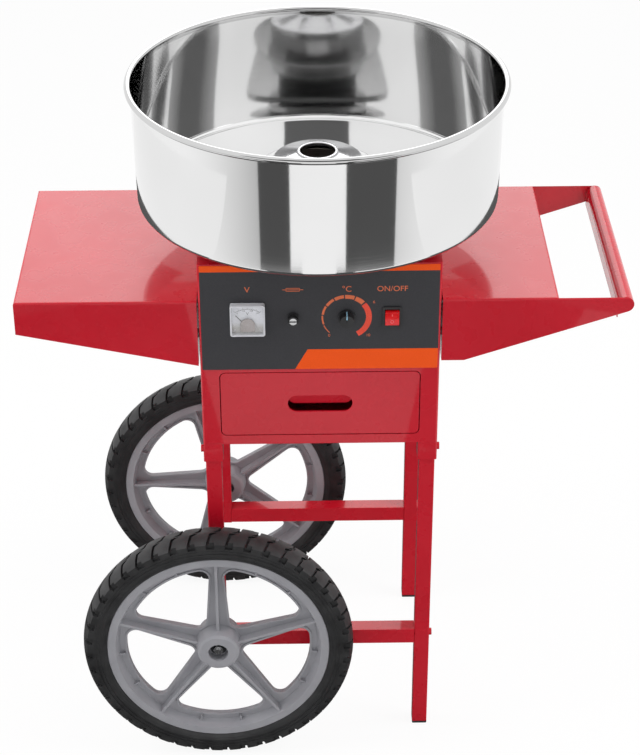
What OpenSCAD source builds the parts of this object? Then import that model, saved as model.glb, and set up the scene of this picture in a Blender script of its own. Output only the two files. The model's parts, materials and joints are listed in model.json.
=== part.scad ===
// Cotton candy cart: a spinning-head floss machine standing on a two-wheeled pedestal cart.
// Millimetres. The bowl's axis is the drawing's Z axis, +X is the handle side, -Y the control side.

/* [Cabinet] */
// Width of the cabinet
cabinet_w = 326; // [320:1:340]
// Depth of the cabinet, the trays and the leg frame
cabinet_d = 340; // [330:1:350]
// Height of the cabinet
cabinet_h = 284; // [276:1:310]
// Height of the cabinet's underside above the floor
cabinet_z = 514; // [490:1:540]
// Thickness of the sheet metal
sheet = 1.5; // [1:0.1:2]
// Outer radius of the bent sheet corners
bend_r = 3; // [2.5:0.1:5]
// Width of the folded-in flanges
flange_w = 14; // [12:1:18]
// Height of the skirts on the top deck and the base plate
skirt_h = 11; // [8:0.5:12]
// Assembly clearance between sheet parts
sheet_gap = 0.2; // [0.1:0.05:0.4]

/* [Control panel] */
// Height of the drawer bay below the control panel
drawer_bay_h = 122; // [120:1:128]
// Bare strip between the panel and the cabinet's top
panel_margin = 2; // [1.5:0.5:8]
// Thickness of the panel overlay
panel_t = 0.8; // [0.5:0.1:1.5]
// Height of the controls' centre line above the panel's lower edge
control_h = 81; // [70:1:90]
// Sideways place of the voltmeter
meter_x = -97; // [-110:1:-85]
// Side of the voltmeter's square front
meter_w = 47; // [42:1:52]
// Depth of the voltmeter's front ahead of the panel
meter_front = 10; // [8:0.5:12]
// Rim of the voltmeter's front
meter_rim = 2.5; // [2:0.1:3.5]
// Diameter of the voltmeter's barrel
meter_barrel_d = 38; // [34:1:41]
// Length of the voltmeter's needle from its pivot
needle_l = 24; // [18:1:26]
// Sideways place of the fuse holder
fuse_x = -36; // [-46:1:-28]
// Diameter of the fuse holder's flange
fuse_d = 16; // [14:0.5:19]
// Sideways place of the temperature knob
knob_x = 36; // [26:1:46]
// Diameter of the temperature knob's skirt
knob_d = 23; // [20:0.5:28]
// Height of the temperature knob
knob_h = 14; // [12:0.5:18]
// Diameter of the potentiometer's shaft
pot_shaft_d = 6; // [5:0.5:6.5]
// Sideways place of the switch
switch_x = 97; // [85:1:110]
// Width of the switch bezel
switch_w = 25.6; // [23:0.2:29]
// Height of the switch bezel
switch_h = 31; // [29:0.5:35]
// Tilt of the rocker either side of level
rocker_tilt = 8; // [5:0.5:10]

/* [Drawer] */
// Bare face of the cabinet either side of the drawer front
drawer_side = 26.5; // [22:0.5:32]
// Bare face of the cabinet below the drawer front
drawer_low = 15.5; // [13:0.5:20]
// Bare face of the cabinet between the drawer front and the panel
drawer_high = 6.5; // [4:0.5:9]
// Gap around the drawer front
drawer_gap = 1.2; // [0.8:0.1:2]
// Corner radius of the drawer front
drawer_r = 7; // [4:0.5:12]
// Thickness of the drawer front
drawer_front_t = 2; // [1.5:0.1:3]
// Room behind the drawer box
drawer_back = 40; // [28:1:70]
// Wall of the drawer box
drawer_wall = 1.2; // [1:0.1:2]
// Width of the drawer box's side rims
drawer_rim_w = 9; // [7:0.5:12]
// Width of the pull slot
pull_w = 89; // [75:1:105]
// Height of the pull slot
pull_h = 26; // [22:1:32]
// Length of the tongue folded in behind the pull slot
tongue_l = 17; // [14:0.5:18]
// Running clearance of the drawer on its runners
run_gap = 0.3; // [0.25:0.05:0.6]

/* [Bowl] */
// Outer diameter of the bowl's rolled rim
bowl_d = 520; // [500:1:540]
// Inward lean of the bowl's wall from its rim to its base
bowl_taper = 3.5; // [0:0.5:12]
// Height of the bowl
bowl_h = 172.5; // [150:0.5:190]
// Thickness of the bowl's sheet
bowl_t = 1.2; // [0.8:0.1:1.6]
// Outer radius between the bowl's wall and floor
bowl_corner_r = 4; // [2:0.5:12]
// Diameter of the rolled rim's bead
bead_d = 9; // [8:0.5:12]
// Height of the bowl's seat above the cabinet
seat_h = 21.5; // [18:0.5:30]
// Diameter of the bowl's seat
seat_d = 236; // [220:1:260]

/* [Spinning head] */
// Diameter of the head's saucer
head_d = 170; // [160:1:176]
// Diameter of the head's drum
drum_d = 124; // [114:1:128]
// Diameter of the head's top ring
head_top_d = 56; // [50:0.5:60]
// Width of the flat ring round the sugar hole
head_ring_w = 4; // [2:0.5:8]
// Height of the head's top above the bowl's floor
head_reach = 64; // [62:0.5:70]
// Height of the head's underside above the bowl's floor
head_lift = 17.5; // [15:0.5:18.5]
// Height of the head's lower drum
lower_drum_h = 12; // [10:0.5:14]
// Height of the head's upper drum
upper_drum_h = 20; // [14:0.5:22]
// Sheet of the spinning head
head_t = 1.5; // [1.2:0.1:2]
// Diameter of the dark cowl under the head
cowl_d = 98; // [90:1:106]
// Diameter of the spindle
spindle_d = 10; // [8:0.5:12]
// Radial running clearance of shafts
shaft_gap = 0.05; // [0.02:0.01:0.09]

/* [Drive] */
// Diameter of the motor
motor_d = 84; // [76:1:92]
// Room between the spindle's lower end and the drawer shelf
drive_gap = 22; // [10:1:40]
// Height of the rubber dampers
damper_h = 12; // [9:0.5:14]
// Diameter of the rubber dampers
damper_d = 18; // [14:0.5:22]
// Thickness of the motor's plate
bracket_t = 3; // [2.5:0.1:4]
// Length of the slip ring drum
slip_l = 20; // [18:0.5:24]
// Diameter of the slip ring drum
slip_d = 24; // [20:0.5:28]
// Diameter of the cord hole in the cable gland
cord_d = 8; // [7:0.5:9.5]

/* [Leg frame] */
// Width of the square legs
leg_w = 22; // [20:0.5:24]
// Wall of the legs and stretchers
tube_t = 1.5; // [1.2:0.1:2]
// Wall of the leg sockets
socket_t = 2.5; // [2:0.1:4]
// Height of the leg sockets
socket_h = 29; // [25:1:36]
// Height of the stretchers
stretcher_h = 25; // [22:0.5:28]
// Drop of the stretchers' tops below the wheels' centre
stretcher_drop = 15; // [10:0.5:18]
// Reach of the left legs below the wheels' centre
leg_tail = 41; // [40:1:56]
// Height of the foot caps
foot_h = 4; // [3:0.5:8]
// Diameter of the frame bolts
bolt_d = 6; // [5:0.5:7]

/* [Wheels] */
// Diameter of the tyres
tyre_d = 392; // [384:1:400]
// Width of the tyres
tyre_w = 46; // [42:0.5:52]
// Height of the tyres above the rims
tyre_h = 35; // [28:0.5:42]
// Width of the wheel rims
rim_w = 36; // [33:0.5:40]
// Number of spokes
spokes = 5; // [4:1:6]
// Diameter of the hub's face
hub_d = 60; // [54:1:66]
// Length of the hub
hub_l = 52; // [48:1:60]
// Depth of the recesses in the hub's faces
hub_recess = 14; // [12:0.5:16]
// Diameter of the recesses in the hub's faces
hub_recess_d = 29; // [28:0.5:32]
// Half thickness of the spokes' web
web_half = 2.5; // [1.5:0.5:4]
// Number of tread blocks round a tyre
tread_n = 44; // [36:1:48]
// Depth of the tread grooves
tread_deep = 4; // [2.5:0.5:5]
// Width of the tread grooves
tread_groove = 3.4; // [2.5:0.1:4]
// Diameter of the stub axles
axle_d = 12; // [10:0.5:13]
// Diameter of the stub axles' threaded ends
axle_end_d = 8; // [7:0.5:9]
// Gap between the hub and the leg frame
hub_gap = 16; // [10:0.5:22]
// Turn of the front wheel's first spoke from the handle side
front_turn = 90; // [0:1:360]
// Turn of the rear wheel's first spoke from the handle side
rear_turn = 180; // [0:1:360]

/* [Trays] */
// Drop of the trays' tops below the cabinet's top
tray_drop = 56; // [50:1:70]
// Gap between the trays and the cabinet
tray_gap = 2; // [1.5:0.1:4]
// Length of the left tray
tray_left_l = 245; // [230:1:260]
// Length of the right tray's flat top
tray_right_l = 156; // [140:1:170]
// Reach of the handle beyond the right tray's flat top
handle_reach = 90; // [80:1:105]
// Diameter of the handle tube
handle_d = 22; // [20:0.5:26]
// Depth of the left tray's skirt at the cabinet
left_skirt = 100; // [92:1:110]
// Depth of the right tray's skirt at the cabinet
right_skirt = 95; // [88:1:105]
// Depth of the left tray's skirt at its outer end
end_skirt = 48; // [40:1:60]
// Depth of the lip at the right tray's outer end
hand_lip = 24; // [18:1:32]
// Straight part of the right tray's lower edge
cheek_flat = 31; // [20:1:45]

/* [Hidden] */
$fn = 64;

red = [0.80, 0.08, 0.11];
dark = [0.22, 0.22, 0.23];
steel = [0.80, 0.80, 0.80];
black = [0.08, 0.08, 0.08];
wheel_grey = [0.55, 0.55, 0.57];
rubber = [0.13, 0.13, 0.13];
copper = [0.72, 0.45, 0.25];

// Heights of the cabinet's parts
cabinet_top = cabinet_z + cabinet_h;
shell_z = cabinet_z + sheet;
shell_h = cabinet_h - 2 * sheet;
front_y = -cabinet_d / 2;
back_y = cabinet_d / 2;
inner_x = cabinet_w / 2 - sheet;
panel_z = cabinet_z + drawer_bay_h;
panel_h = cabinet_top - panel_margin - panel_z;
panel_w = cabinet_w - 2 * bend_r;
panel_y = front_y - panel_t;
control_z = panel_z + control_h;
shelf_z = panel_z + 2;
cover_screw_x = cabinet_w / 2 - flange_w / 2;
cover_screw_d = 4;
cover_screw_zs = [shell_z + 30, shell_z + shell_h / 2, shell_z + shell_h - 30];
louvre_x = 70;
louvre_w = 74;
louvre_r = 5;
louvre_step = 16;
louvre_drop = 120;
louvre_zs = [for (i = [0:5]) shell_z + shell_h - louvre_drop + louvre_step * i];

// Voltmeter
meter_recess = meter_front - 2;
dial_t = 1;
window_t = 1.5;
meter_inner = meter_w - 2 * meter_rim;
barrel_l = 28;
needle_t = 0.6;
needle_pin_d = 1.6;
needle_hub_d = 5;
needle_zero = 42;
pivot_z = control_z - meter_inner / 2 + 9;
dial_y = panel_y - meter_front + meter_recess;
needle_y = dial_y - dial_t - 0.8;

// Fuse holder, potentiometer and switch
fuse_tube_d = fuse_d - 4;
fuse_bore_d = fuse_tube_d - 4;
fuse_tube_l = 34;
fuse_flange_t = 2.5;
fuse_cap_d = fuse_d - 2;
fuse_cap_h = 9;
link_d = fuse_bore_d - 2.4;
link_l = 20;
pot_bush_d = pot_shaft_d + 3;
pot_nut_af = pot_bush_d + 3;
pot_d = 24;
pot_l = 11;
pot_front = 6;
knob_lift = 1;
switch_pocket_w = switch_w - 6;
switch_pocket_h = switch_h - 7;
switch_bezel_t = 2.5;
switch_body_wall = 1.6;
switch_body_l = 24;
rocker_w = switch_pocket_w - 0.8;
rocker_h = switch_pocket_h - 2.2;
rocker_pin_d = 3;
rocker_pin_l = 1.2;
rocker_y = panel_y + 2;

// Drawer
drawer_w = cabinet_w - 2 * drawer_side;
drawer_h = drawer_bay_h - drawer_low - drawer_high;
drawer_z = cabinet_z + drawer_low + drawer_h / 2;
drawer_depth = cabinet_d - drawer_back;
box_inset = 8;
box_h = drawer_h - 2 * box_inset;
tongue_tilt = 18;
tongue_r = 11;
rail_end = 10;
rail_h = 22;
box_w = drawer_w - 2 * drawer_rim_w + 0.6;
box_top = drawer_z + box_h / 2;
box_front_y = front_y + drawer_front_t;
ledge_top = box_top - drawer_wall - run_gap;
ledge_in = box_w / 2 + 1.5;

// Bowl and head
bowl_z = cabinet_top + seat_h;
bead_lap = 0.3;
bowl_wall_r = bowl_d / 2 - bead_d + bead_lap + bowl_t;
bowl_base_r = bowl_wall_r - bowl_taper;
bowl_hole_d = head_d + 8;
spigot_d = bowl_hole_d - 1;
spigot_h = 5;
head_z = bowl_z + head_lift;
saucer_z = head_z + lower_drum_h;
saucer_t = 2;
saucer_rise = 3;
cover_z = saucer_z + saucer_t;
cone_z = cover_z + upper_drum_h;
head_top = bowl_z + head_reach;
cowl_top = head_z - 3;
collar_d = spindle_d + 6;
spindle_hole_d = collar_d + 8;
spindle_top = 14;
collar_l = 4;

// Drive
deck_under = cabinet_top - sheet;
bracket_top = deck_under - damper_h;
motor_top = bracket_top - bracket_t;
spindle_end = 4;
slip_gap = 4;
slip_z = shelf_z + sheet + drive_gap + spindle_end;
motor_z = slip_z + slip_l + slip_gap;
motor_l = motor_top - motor_z;
ring_d = slip_d + 4;
ring_w = 5;
bracket_w = motor_d + 2 * damper_d + 20;
bracket_dy = motor_d + 10;
damper_x = bracket_w / 2 - damper_d / 2 - 2;
damper_y = bracket_dy / 2 - damper_d / 2 - 2;
gland_side = 53;
gland_x = cabinet_w / 2 - gland_side;
gland_h = 60;
gland_z = cabinet_z + gland_h;
gland_d = cord_d + 8;

// Leg frame
socket_w = leg_w + 2 * socket_t;
leg_x = cabinet_w / 2 - socket_w / 2;
leg_y = cabinet_d / 2 - socket_w / 2;
axle_z = tyre_d / 2;
left_leg_z = axle_z - leg_tail;
stretcher_z = axle_z - stretcher_drop - stretcher_h;
stretcher_l = 2 * leg_x - leg_w;
stretcher_d = leg_w;
end_plate_t = 4;
foot_plug_h = 14;
bolt_head_h = 4;
bolt_head_d = 1.75 * bolt_d;
stretcher_bolt_z = stretcher_z + stretcher_h / 2;
socket_bolt_z = cabinet_z - socket_h / 2;

// Wheels
tyre_r = tyre_d / 2;
rim_r = tyre_r - tyre_h;
hub_r = hub_d / 2;
leg_face_y = leg_y + leg_w / 2;
wheel_y = leg_face_y + hub_gap + hub_l / 2;
bush_d = axle_d + 9;
bush_l = hub_l / 2 - hub_recess - 2;
side_gap = 0.3;
washer_t = 2;
washer_d = hub_recess_d - 5;
nut_h = 0.8 * axle_end_d;
nut_af = 1.625 * axle_end_d;
lip_w = 12;
rim_floor_r = rim_r - lip_w - 5;
window_r = rim_r - 28;
window_round = 13;
border_w = 3;
border_h = 1.5;
spoke_half_in = 16.5;
spoke_half_out = 11;
rib_t = 4;
gusset_t = 2.5;
gusset_turn = 12;
crown_r = 40;
side_rib_h = 0.8;
side_rib_w = 1.6;
side_rib_rs = [rim_r + 12, rim_r + 17];
tread_slope = 16;
notch_l = 11;
notch_in = 4.5;
notch_low = 14;
bush_face = wheel_y + hub_l / 2 - hub_recess;
washer_y = bush_face + side_gap;
nut_y = washer_y + washer_t;
axle_half = nut_y + nut_h + 2;

// Trays
tray_top = cabinet_top - tray_drop;
tray_in = cabinet_w / 2 + tray_gap;
left_end = tray_in + tray_left_l;
right_flat = tray_in + tray_right_l;
handle_x = right_flat + handle_reach;
handle_r = handle_d / 2;
handle_z = tray_top - handle_r;
tray_screw_d = 5;
tray_screw_end = 5;
tray_screw_head = 3;
tray_screw_in = 42;
tray_screw_y = cabinet_d / 2 - tray_screw_in;
tray_screw_drops = [25, 72];
tray_screw_zs = [for (drop = tray_screw_drops) tray_top - drop];

// The origin lies on the floor under the middle of the overall length
origin_x = (handle_x + handle_r - left_end) / 2;

// General shapes

// Rectangle with true round corners, centred
module round_rect(w, h, r) {
    square([w, h - 2 * r], center = true);
    square([w - 2 * r, h], center = true);
    for (sx = [-1, 1], sy = [-1, 1])
        translate([sx * (w / 2 - r), sy * (h / 2 - r)]) circle(r);
}

// Points of an arc about a centre, from one angle to another
function arc_points(centre, r, from, to, steps) =
    [for (i = [0:steps]) let (a = from + (to - from) * i / steps) centre + r * [cos(a), sin(a)]];

// Outline in X and Z, extruded from the plane y towards the front
module slab(y, depth) {
    translate([0, y, 0]) rotate([90, 0, 0]) linear_extrude(depth) children();
}

// Outline in Y and Z, extruded from the plane x towards the handle side
module slab_x(x, depth) {
    translate([x, 0, 0]) rotate([90, 0, 90]) linear_extrude(depth) children();
}

// Round bar along Y from the plane y towards the front
module bar_y(x, z, y, d, l) {
    translate([x, y, z]) rotate([90, 0, 0]) cylinder(d = d, h = l);
}

// Hexagonal bar along Y from the plane y towards the front
module hex_y(x, z, y, af, l) {
    translate([x, y, z]) rotate([90, 0, 0]) cylinder(d = af / cos(30), h = l, $fn = 6);
}

// Round bar along X from the plane x
module bar_x(x, y, z, d, l) {
    translate([x, y, z]) rotate([0, 90, 0]) cylinder(d = d, h = l);
}

// Cabinet

module drawer_outline(grow) {
    translate([0, drawer_z]) round_rect(drawer_w + 2 * grow, drawer_h + 2 * grow, drawer_r + grow);
}

module pull_slot() {
    translate([0, drawer_z]) round_rect(pull_w, pull_h, pull_h / 2 - 0.01);
}

// Holes for the voltmeter, the fuse holder, the potentiometer and the switch
module control_holes() {
    translate([meter_x, control_z]) circle(d = meter_barrel_d + 1);
    translate([fuse_x, control_z]) circle(d = fuse_tube_d);
    translate([knob_x, control_z]) circle(d = pot_bush_d);
    translate([switch_x, control_z])
        square(
            [switch_pocket_w + 2 * switch_body_wall, switch_pocket_h + 2 * switch_body_wall],
            center = true
        );
}

module cover_screw_bars(d, y, l) {
    for (sx = [-1, 1], z = cover_screw_zs) bar_y(sx * cover_screw_x, z, y, d, l);
}

// Front and sides bent from one sheet, with flanges folded in along the back edges
module cabinet_shell() {
    shell_d = cabinet_d - sheet;
    color(red) difference() {
        translate([0, -sheet / 2, shell_z]) linear_extrude(shell_h) difference() {
            round_rect(cabinet_w, shell_d, bend_r);
            round_rect(cabinet_w - 2 * sheet, shell_d - 2 * sheet, bend_r - sheet);
            translate([0, shell_d / 2]) square([cabinet_w - 2 * flange_w, 4 * sheet], center = true);
        }
        slab(front_y + 2 * sheet, 4 * sheet) drawer_outline(drawer_gap);
        slab(front_y + 2 * sheet, 4 * sheet) control_holes();
        cover_screw_bars(cover_screw_d, back_y, 4 * sheet);
        tray_screw_bars(tray_screw_d, 1);
    }
}

// Hood of one louvre, a quarter tube pressed out of the back cover
module louvre_hood(z, w, r) {
    translate([-w / 2, back_y, z]) rotate([90, 0, 90]) linear_extrude(w) intersection() {
        difference() {
            circle(r);
            circle(r - sheet);
        }
        square([r, r]);
    }
}

module back_cover() {
    cover_w = cabinet_w - 2 * bend_r;
    color(red) {
        difference() {
            slab(back_y, sheet) translate([0, shell_z + shell_h / 2])
                round_rect(cover_w, shell_h - 2 * sheet_gap, bend_r);
            for (sx = [-1, 1], z = louvre_zs)
                translate([sx * louvre_x - louvre_w / 2, back_y - 2 * sheet, z])
                    cube([louvre_w, 4 * sheet, louvre_r - sheet]);
            bar_y(gland_x, gland_z, back_y + sheet, gland_d, 4 * sheet);
            cover_screw_bars(cover_screw_d, back_y + sheet, 4 * sheet);
        }
        for (sx = [-1, 1], z = louvre_zs) translate([sx * louvre_x, 0, 0]) louvre_hood(z, louvre_w, louvre_r);
    }
}

module cover_screws() {
    color(steel) {
        cover_screw_bars(cover_screw_d, back_y, sheet + 8);
        cover_screw_bars(2 * cover_screw_d, back_y + 2.2, 2.2);
    }
}

// Standing rim that fits inside the shell and its back flanges
module skirt_ring(z) {
    w = cabinet_w - 2 * sheet - 2 * sheet_gap;
    d = cabinet_d - 3 * sheet - 2 * sheet_gap;
    translate([0, -sheet / 2, z]) linear_extrude(skirt_h) difference() {
        round_rect(w, d, bend_r - sheet);
        square([w - 2 * sheet, d - 2 * sheet], center = true);
    }
}

module top_deck() {
    color(red) {
        translate([0, 0, deck_under]) linear_extrude(sheet) difference() {
            round_rect(cabinet_w, cabinet_d, bend_r);
            circle(d = spindle_hole_d);
        }
        skirt_ring(deck_under - skirt_h);
    }
}

module base_plate() {
    color(red) {
        translate([0, 0, cabinet_z]) linear_extrude(sheet) round_rect(cabinet_w, cabinet_d, bend_r);
        skirt_ring(shell_z);
    }
}

// Shelf that parts the drawer bay from the drive above it, with its side flanges turned down
module drawer_shelf() {
    shelf_d = cabinet_d - 4 * sheet;
    color(steel) {
        translate([-inner_x, -shelf_d / 2, shelf_z]) cube([2 * inner_x, shelf_d, sheet]);
        for (sx = [-1, 1])
            translate([sx * (inner_x - sheet / 2), 0, shelf_z - 3]) cube([sheet, shelf_d, 8], center = true);
    }
}

// Angle rails under the side rims of the drawer box
module drawer_runners() {
    rail_l = cabinet_d - 4 * sheet - 2 * rail_end;
    color(steel) for (sx = [-1, 1]) mirror([sx < 0 ? 1 : 0, 0, 0]) {
        translate([ledge_in, -rail_l / 2, ledge_top - sheet]) cube([inner_x - ledge_in, rail_l, sheet]);
        translate([inner_x - sheet, -rail_l / 2, ledge_top - rail_h]) cube([sheet, rail_l, rail_h]);
    }
}

// Control panel

module control_panel() {
    color(dark) slab(front_y, panel_t) difference() {
        translate([0, panel_z + panel_h / 2]) round_rect(panel_w, panel_h, 1.5);
        control_holes();
    }
}

module voltmeter_case() {
    color(black) difference() {
        union() {
            slab(panel_y, meter_front) translate([meter_x, control_z]) round_rect(meter_w, meter_w, 3);
            bar_y(meter_x, control_z, panel_y + barrel_l, meter_barrel_d, barrel_l);
        }
        slab(dial_y, meter_recess + 1)
            translate([meter_x, control_z]) square([meter_inner, meter_inner], center = true);
    }
}

module voltmeter_dial() {
    color("white") {
        slab(dial_y, dial_t) translate([meter_x, control_z])
            square([meter_inner - 0.2, meter_inner - 0.2], center = true);
        bar_y(meter_x, pivot_z, dial_y, needle_pin_d, dial_t + 2.4);
    }
}

// Clear cover flush with the front of the case
module voltmeter_window() {
    color([0.8, 0.85, 0.9, 0.4]) slab(panel_y - meter_front + window_t, window_t)
        translate([meter_x, control_z]) square([meter_inner, meter_inner], center = true);
}

module voltmeter_needle() {
    color(black) slab(needle_y, needle_t) translate([meter_x, pivot_z]) difference() {
        union() {
            circle(d = needle_hub_d);
            rotate(needle_zero) translate([-0.4, 0]) square([0.8, needle_l]);
        }
        circle(d = needle_pin_d + 2 * shaft_gap);
    }
}

module fuse_holder() {
    color(black) difference() {
        union() {
            bar_y(fuse_x, control_z, panel_y, fuse_d, fuse_flange_t);
            bar_y(fuse_x, control_z, panel_y + fuse_tube_l, fuse_tube_d, fuse_tube_l);
            hex_y(fuse_x, control_z, front_y + sheet + 4, fuse_tube_d + 5, 4);
        }
        bar_y(fuse_x, control_z, panel_y + fuse_tube_l - 3, fuse_bore_d, fuse_tube_l + 10);
    }
}

// Fluted cap with a driver slot; its stem runs in the holder's bore
module fuse_cap() {
    cap_y = panel_y - fuse_flange_t - run_gap;
    flutes = 18;
    color(black) difference() {
        union() {
            bar_y(fuse_x, control_z, cap_y, fuse_cap_d, fuse_cap_h);
            bar_y(fuse_x, control_z, cap_y + 8, fuse_bore_d - 2 * shaft_gap, 8);
        }
        for (i = [0:flutes - 1]) translate([fuse_x, 0, control_z]) rotate([0, i * 360 / flutes, 0])
            bar_y(fuse_cap_d / 2, 0, cap_y - 2, 1.4, fuse_cap_h);
        translate([fuse_x, cap_y - fuse_cap_h, control_z]) cube([fuse_cap_d, 2.4, 1.4], center = true);
        bar_y(fuse_x, control_z, cap_y + 10, link_d, 6);
    }
}

// Glass fuse held in the cap's stem
module fuse_link() {
    color("silver") bar_y(fuse_x, control_z, panel_y - fuse_flange_t - run_gap + 4 + link_l, link_d, link_l);
}

module potentiometer() {
    color(steel) difference() {
        union() {
            bar_y(knob_x, control_z, front_y + sheet + pot_l, pot_d, pot_l);
            bar_y(knob_x, control_z, front_y + sheet, pot_bush_d, sheet + panel_t + pot_front);
            hex_y(knob_x, control_z, panel_y, pot_nut_af, 2.4);
        }
        bar_y(knob_x, control_z, front_y + sheet + 8, pot_shaft_d + 2 * shaft_gap, 40);
    }
}

module pot_shaft() {
    shaft_in = front_y + sheet + 7;
    shaft_out = panel_y - knob_lift - knob_h + 3;
    color(steel) bar_y(knob_x, control_z, shaft_in, pot_shaft_d, shaft_in - shaft_out);
}

// Fluted knob over a wide skirt, with a groove for its pointer and a hollow over the bush nut
module temperature_knob() {
    face_d = knob_d - 4;
    knob_y = panel_y - knob_lift;
    skirt_t = 3;
    flutes = 24;
    hollow_d = pot_nut_af / cos(30) + 0.6;
    hollow_l = pot_front - knob_lift + run_gap;
    color(black) difference() {
        union() {
            bar_y(knob_x, control_z, knob_y, knob_d, skirt_t);
            translate([knob_x, knob_y - skirt_t, control_z]) rotate([90, 0, 0])
                cylinder(d1 = face_d + 1, d2 = face_d, h = knob_h - skirt_t);
        }
        for (i = [0:flutes - 1]) translate([knob_x, 0, control_z]) rotate([0, i * 360 / flutes, 0])
            bar_y(face_d / 2 + 0.6, 0, knob_y - skirt_t, 1.5, knob_h);
        translate([knob_x - 0.7, knob_y - knob_h - 1, control_z]) cube([1.4, 1.6, face_d / 2 + 1]);
        bar_y(knob_x, control_z, knob_y + 1, pot_shaft_d, knob_h - 2);
        bar_y(knob_x, control_z, knob_y + 1, hollow_d, hollow_l + 1);
    }
}

module switch_housing() {
    color(black) difference() {
        union() {
            slab(panel_y, switch_bezel_t) translate([switch_x, control_z]) round_rect(switch_w, switch_h, 2);
            slab(panel_y + switch_body_l, switch_body_l) translate([switch_x, control_z])
                square([switch_pocket_w + 2 * switch_body_wall, switch_pocket_h + 2 * switch_body_wall],
                       center = true);
        }
        slab(panel_y + switch_body_l - 6, switch_body_l) translate([switch_x, control_z])
            square([switch_pocket_w, switch_pocket_h], center = true);
        bar_x(switch_x - switch_w, rocker_y, control_z, rocker_pin_d + 2 * shaft_gap, 2 * switch_w);
    }
}

// Rocker pressed at its lower end; its two faces meet in a shallow valley
module rocker() {
    half = rocker_h / 2;
    pin_span = rocker_w + 2 * rocker_pin_l;
    color([0.85, 0.05, 0.08]) translate([switch_x, rocker_y, control_z]) rotate([rocker_tilt, 0, 0]) {
        translate([-rocker_w / 2, 0, 0]) rotate([90, 0, 90]) linear_extrude(rocker_w)
            polygon([
                [-7.4, half], [-5.4, 0], [-7.4, -half],
                [0, -half + 0.6], [6, -4], [6, 4], [0, half - 0.6]
            ]);
        bar_x(-pin_span / 2, 0, 0, rocker_pin_d, pin_span);
    }
}

// Inside the cabinet

// Circuit board on posts with a finned heat sink and a few components
module heat_controller() {
    board_w = 80;
    board_d = 60;
    board_side = 15;
    board_back = 78;
    post_h = 8;
    board_z = shelf_z + sheet + post_h;
    board_x = board_side + board_w / 2 - inner_x;
    translate([board_x, back_y - board_back - board_d / 2, 0]) color([0.1, 0.35, 0.2]) {
        translate([-board_w / 2, -board_d / 2, board_z]) cube([board_w, board_d, 1.6]);
        for (sx = [-1, 1], sy = [-1, 1])
            translate([sx * (board_w / 2 - 5), sy * (board_d / 2 - 5), shelf_z + sheet])
                cylinder(d = 6, h = post_h);
        translate([-30, -22, board_z + 1.6]) cube([26, 44, 3]);
        for (i = [0:5]) translate([-30 + 5 * i, -22, board_z + 4.6]) cube([1.4, 44, 18]);
        translate([18, -12, board_z + 1.6]) cylinder(d = 14, h = 22);
        translate([10, 8, board_z + 1.6]) cube([22, 14, 12]);
    }
}

// Gland for the supply cord, clamped on the back cover
module cable_gland() {
    out_l = 20;
    color(black) difference() {
        union() {
            bar_y(gland_x, gland_z, back_y, gland_d, sheet + 14);
            hex_y(gland_x, gland_z, back_y - sheet, gland_d + 6, 5);
            hex_y(gland_x, gland_z, back_y + 7, gland_d + 6, 7);
            translate([gland_x, back_y + 7, gland_z]) rotate([-90, 0, 0])
                cylinder(d1 = gland_d + 5, d2 = gland_d - 1, h = out_l - 7);
        }
        bar_y(gland_x, gland_z, back_y + out_l + 1, cord_d, 60);
    }
}

// Drawer

module drawer_front() {
    color(red) slab(box_front_y, drawer_front_t) difference() {
        drawer_outline(0);
        pull_slot();
    }
}

// Tongue folded in from the box's front wall behind the pull slot, its lower corners rounded
module pull_tongue() {
    tongue_w = pull_w - 2;
    tip = tongue_l * [sin(tongue_tilt), -cos(tongue_tilt)];
    intersection() {
        slab_x(-tongue_w / 2, tongue_w) translate([box_front_y, drawer_z + pull_h / 2]) polygon([
            [0, 1], [0, 0], tip, tip + drawer_wall * [cos(tongue_tilt), sin(tongue_tilt)],
            [drawer_wall, drawer_wall * tan(tongue_tilt / 2)], [drawer_wall, 1]
        ]);
        slab(0, cabinet_d) translate([0, drawer_z + pull_h / 2]) round_rect(tongue_w, 1 - 2 * tip[1], tongue_r);
    }
}

// Open-topped box with side rims that slide on the runners
module drawer_box() {
    color(red) {
        difference() {
            union() {
                translate([-box_w / 2, box_front_y, box_top - box_h]) cube([box_w, drawer_depth, box_h]);
                translate([-box_w / 2 - drawer_rim_w, box_front_y, box_top - drawer_wall])
                    cube([box_w + 2 * drawer_rim_w, drawer_depth, drawer_wall]);
            }
            translate([-box_w / 2 + drawer_wall, box_front_y + drawer_wall, box_top - box_h + drawer_wall])
                cube([box_w - 2 * drawer_wall, drawer_depth - 2 * drawer_wall, box_h]);
            slab(box_front_y + 2 * drawer_wall, 4 * drawer_wall) {
                pull_slot();
                translate([-pull_w / 2, drawer_z]) square([pull_w, pull_h / 2]);
            }
        }
        pull_tongue();
    }
}

// Bowl and spinning head

// Cast seat under the bowl; its spigot centres the bowl
module bowl_seat() {
    wall = 5;
    color(steel) rotate_extrude() difference() {
        union() {
            translate([0, cabinet_top]) square([seat_d / 2, seat_h]);
            translate([0, bowl_z]) square([spigot_d / 2, spigot_h]);
        }
        translate([0, cabinet_top - 1]) square([spindle_hole_d / 2, seat_h + spigot_h + 2]);
        translate([spindle_hole_d / 2 + wall, cabinet_top - 1])
            square([seat_d / 2 - spindle_hole_d / 2 - 2 * wall, seat_h + 1 - wall]);
    }
}

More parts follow.
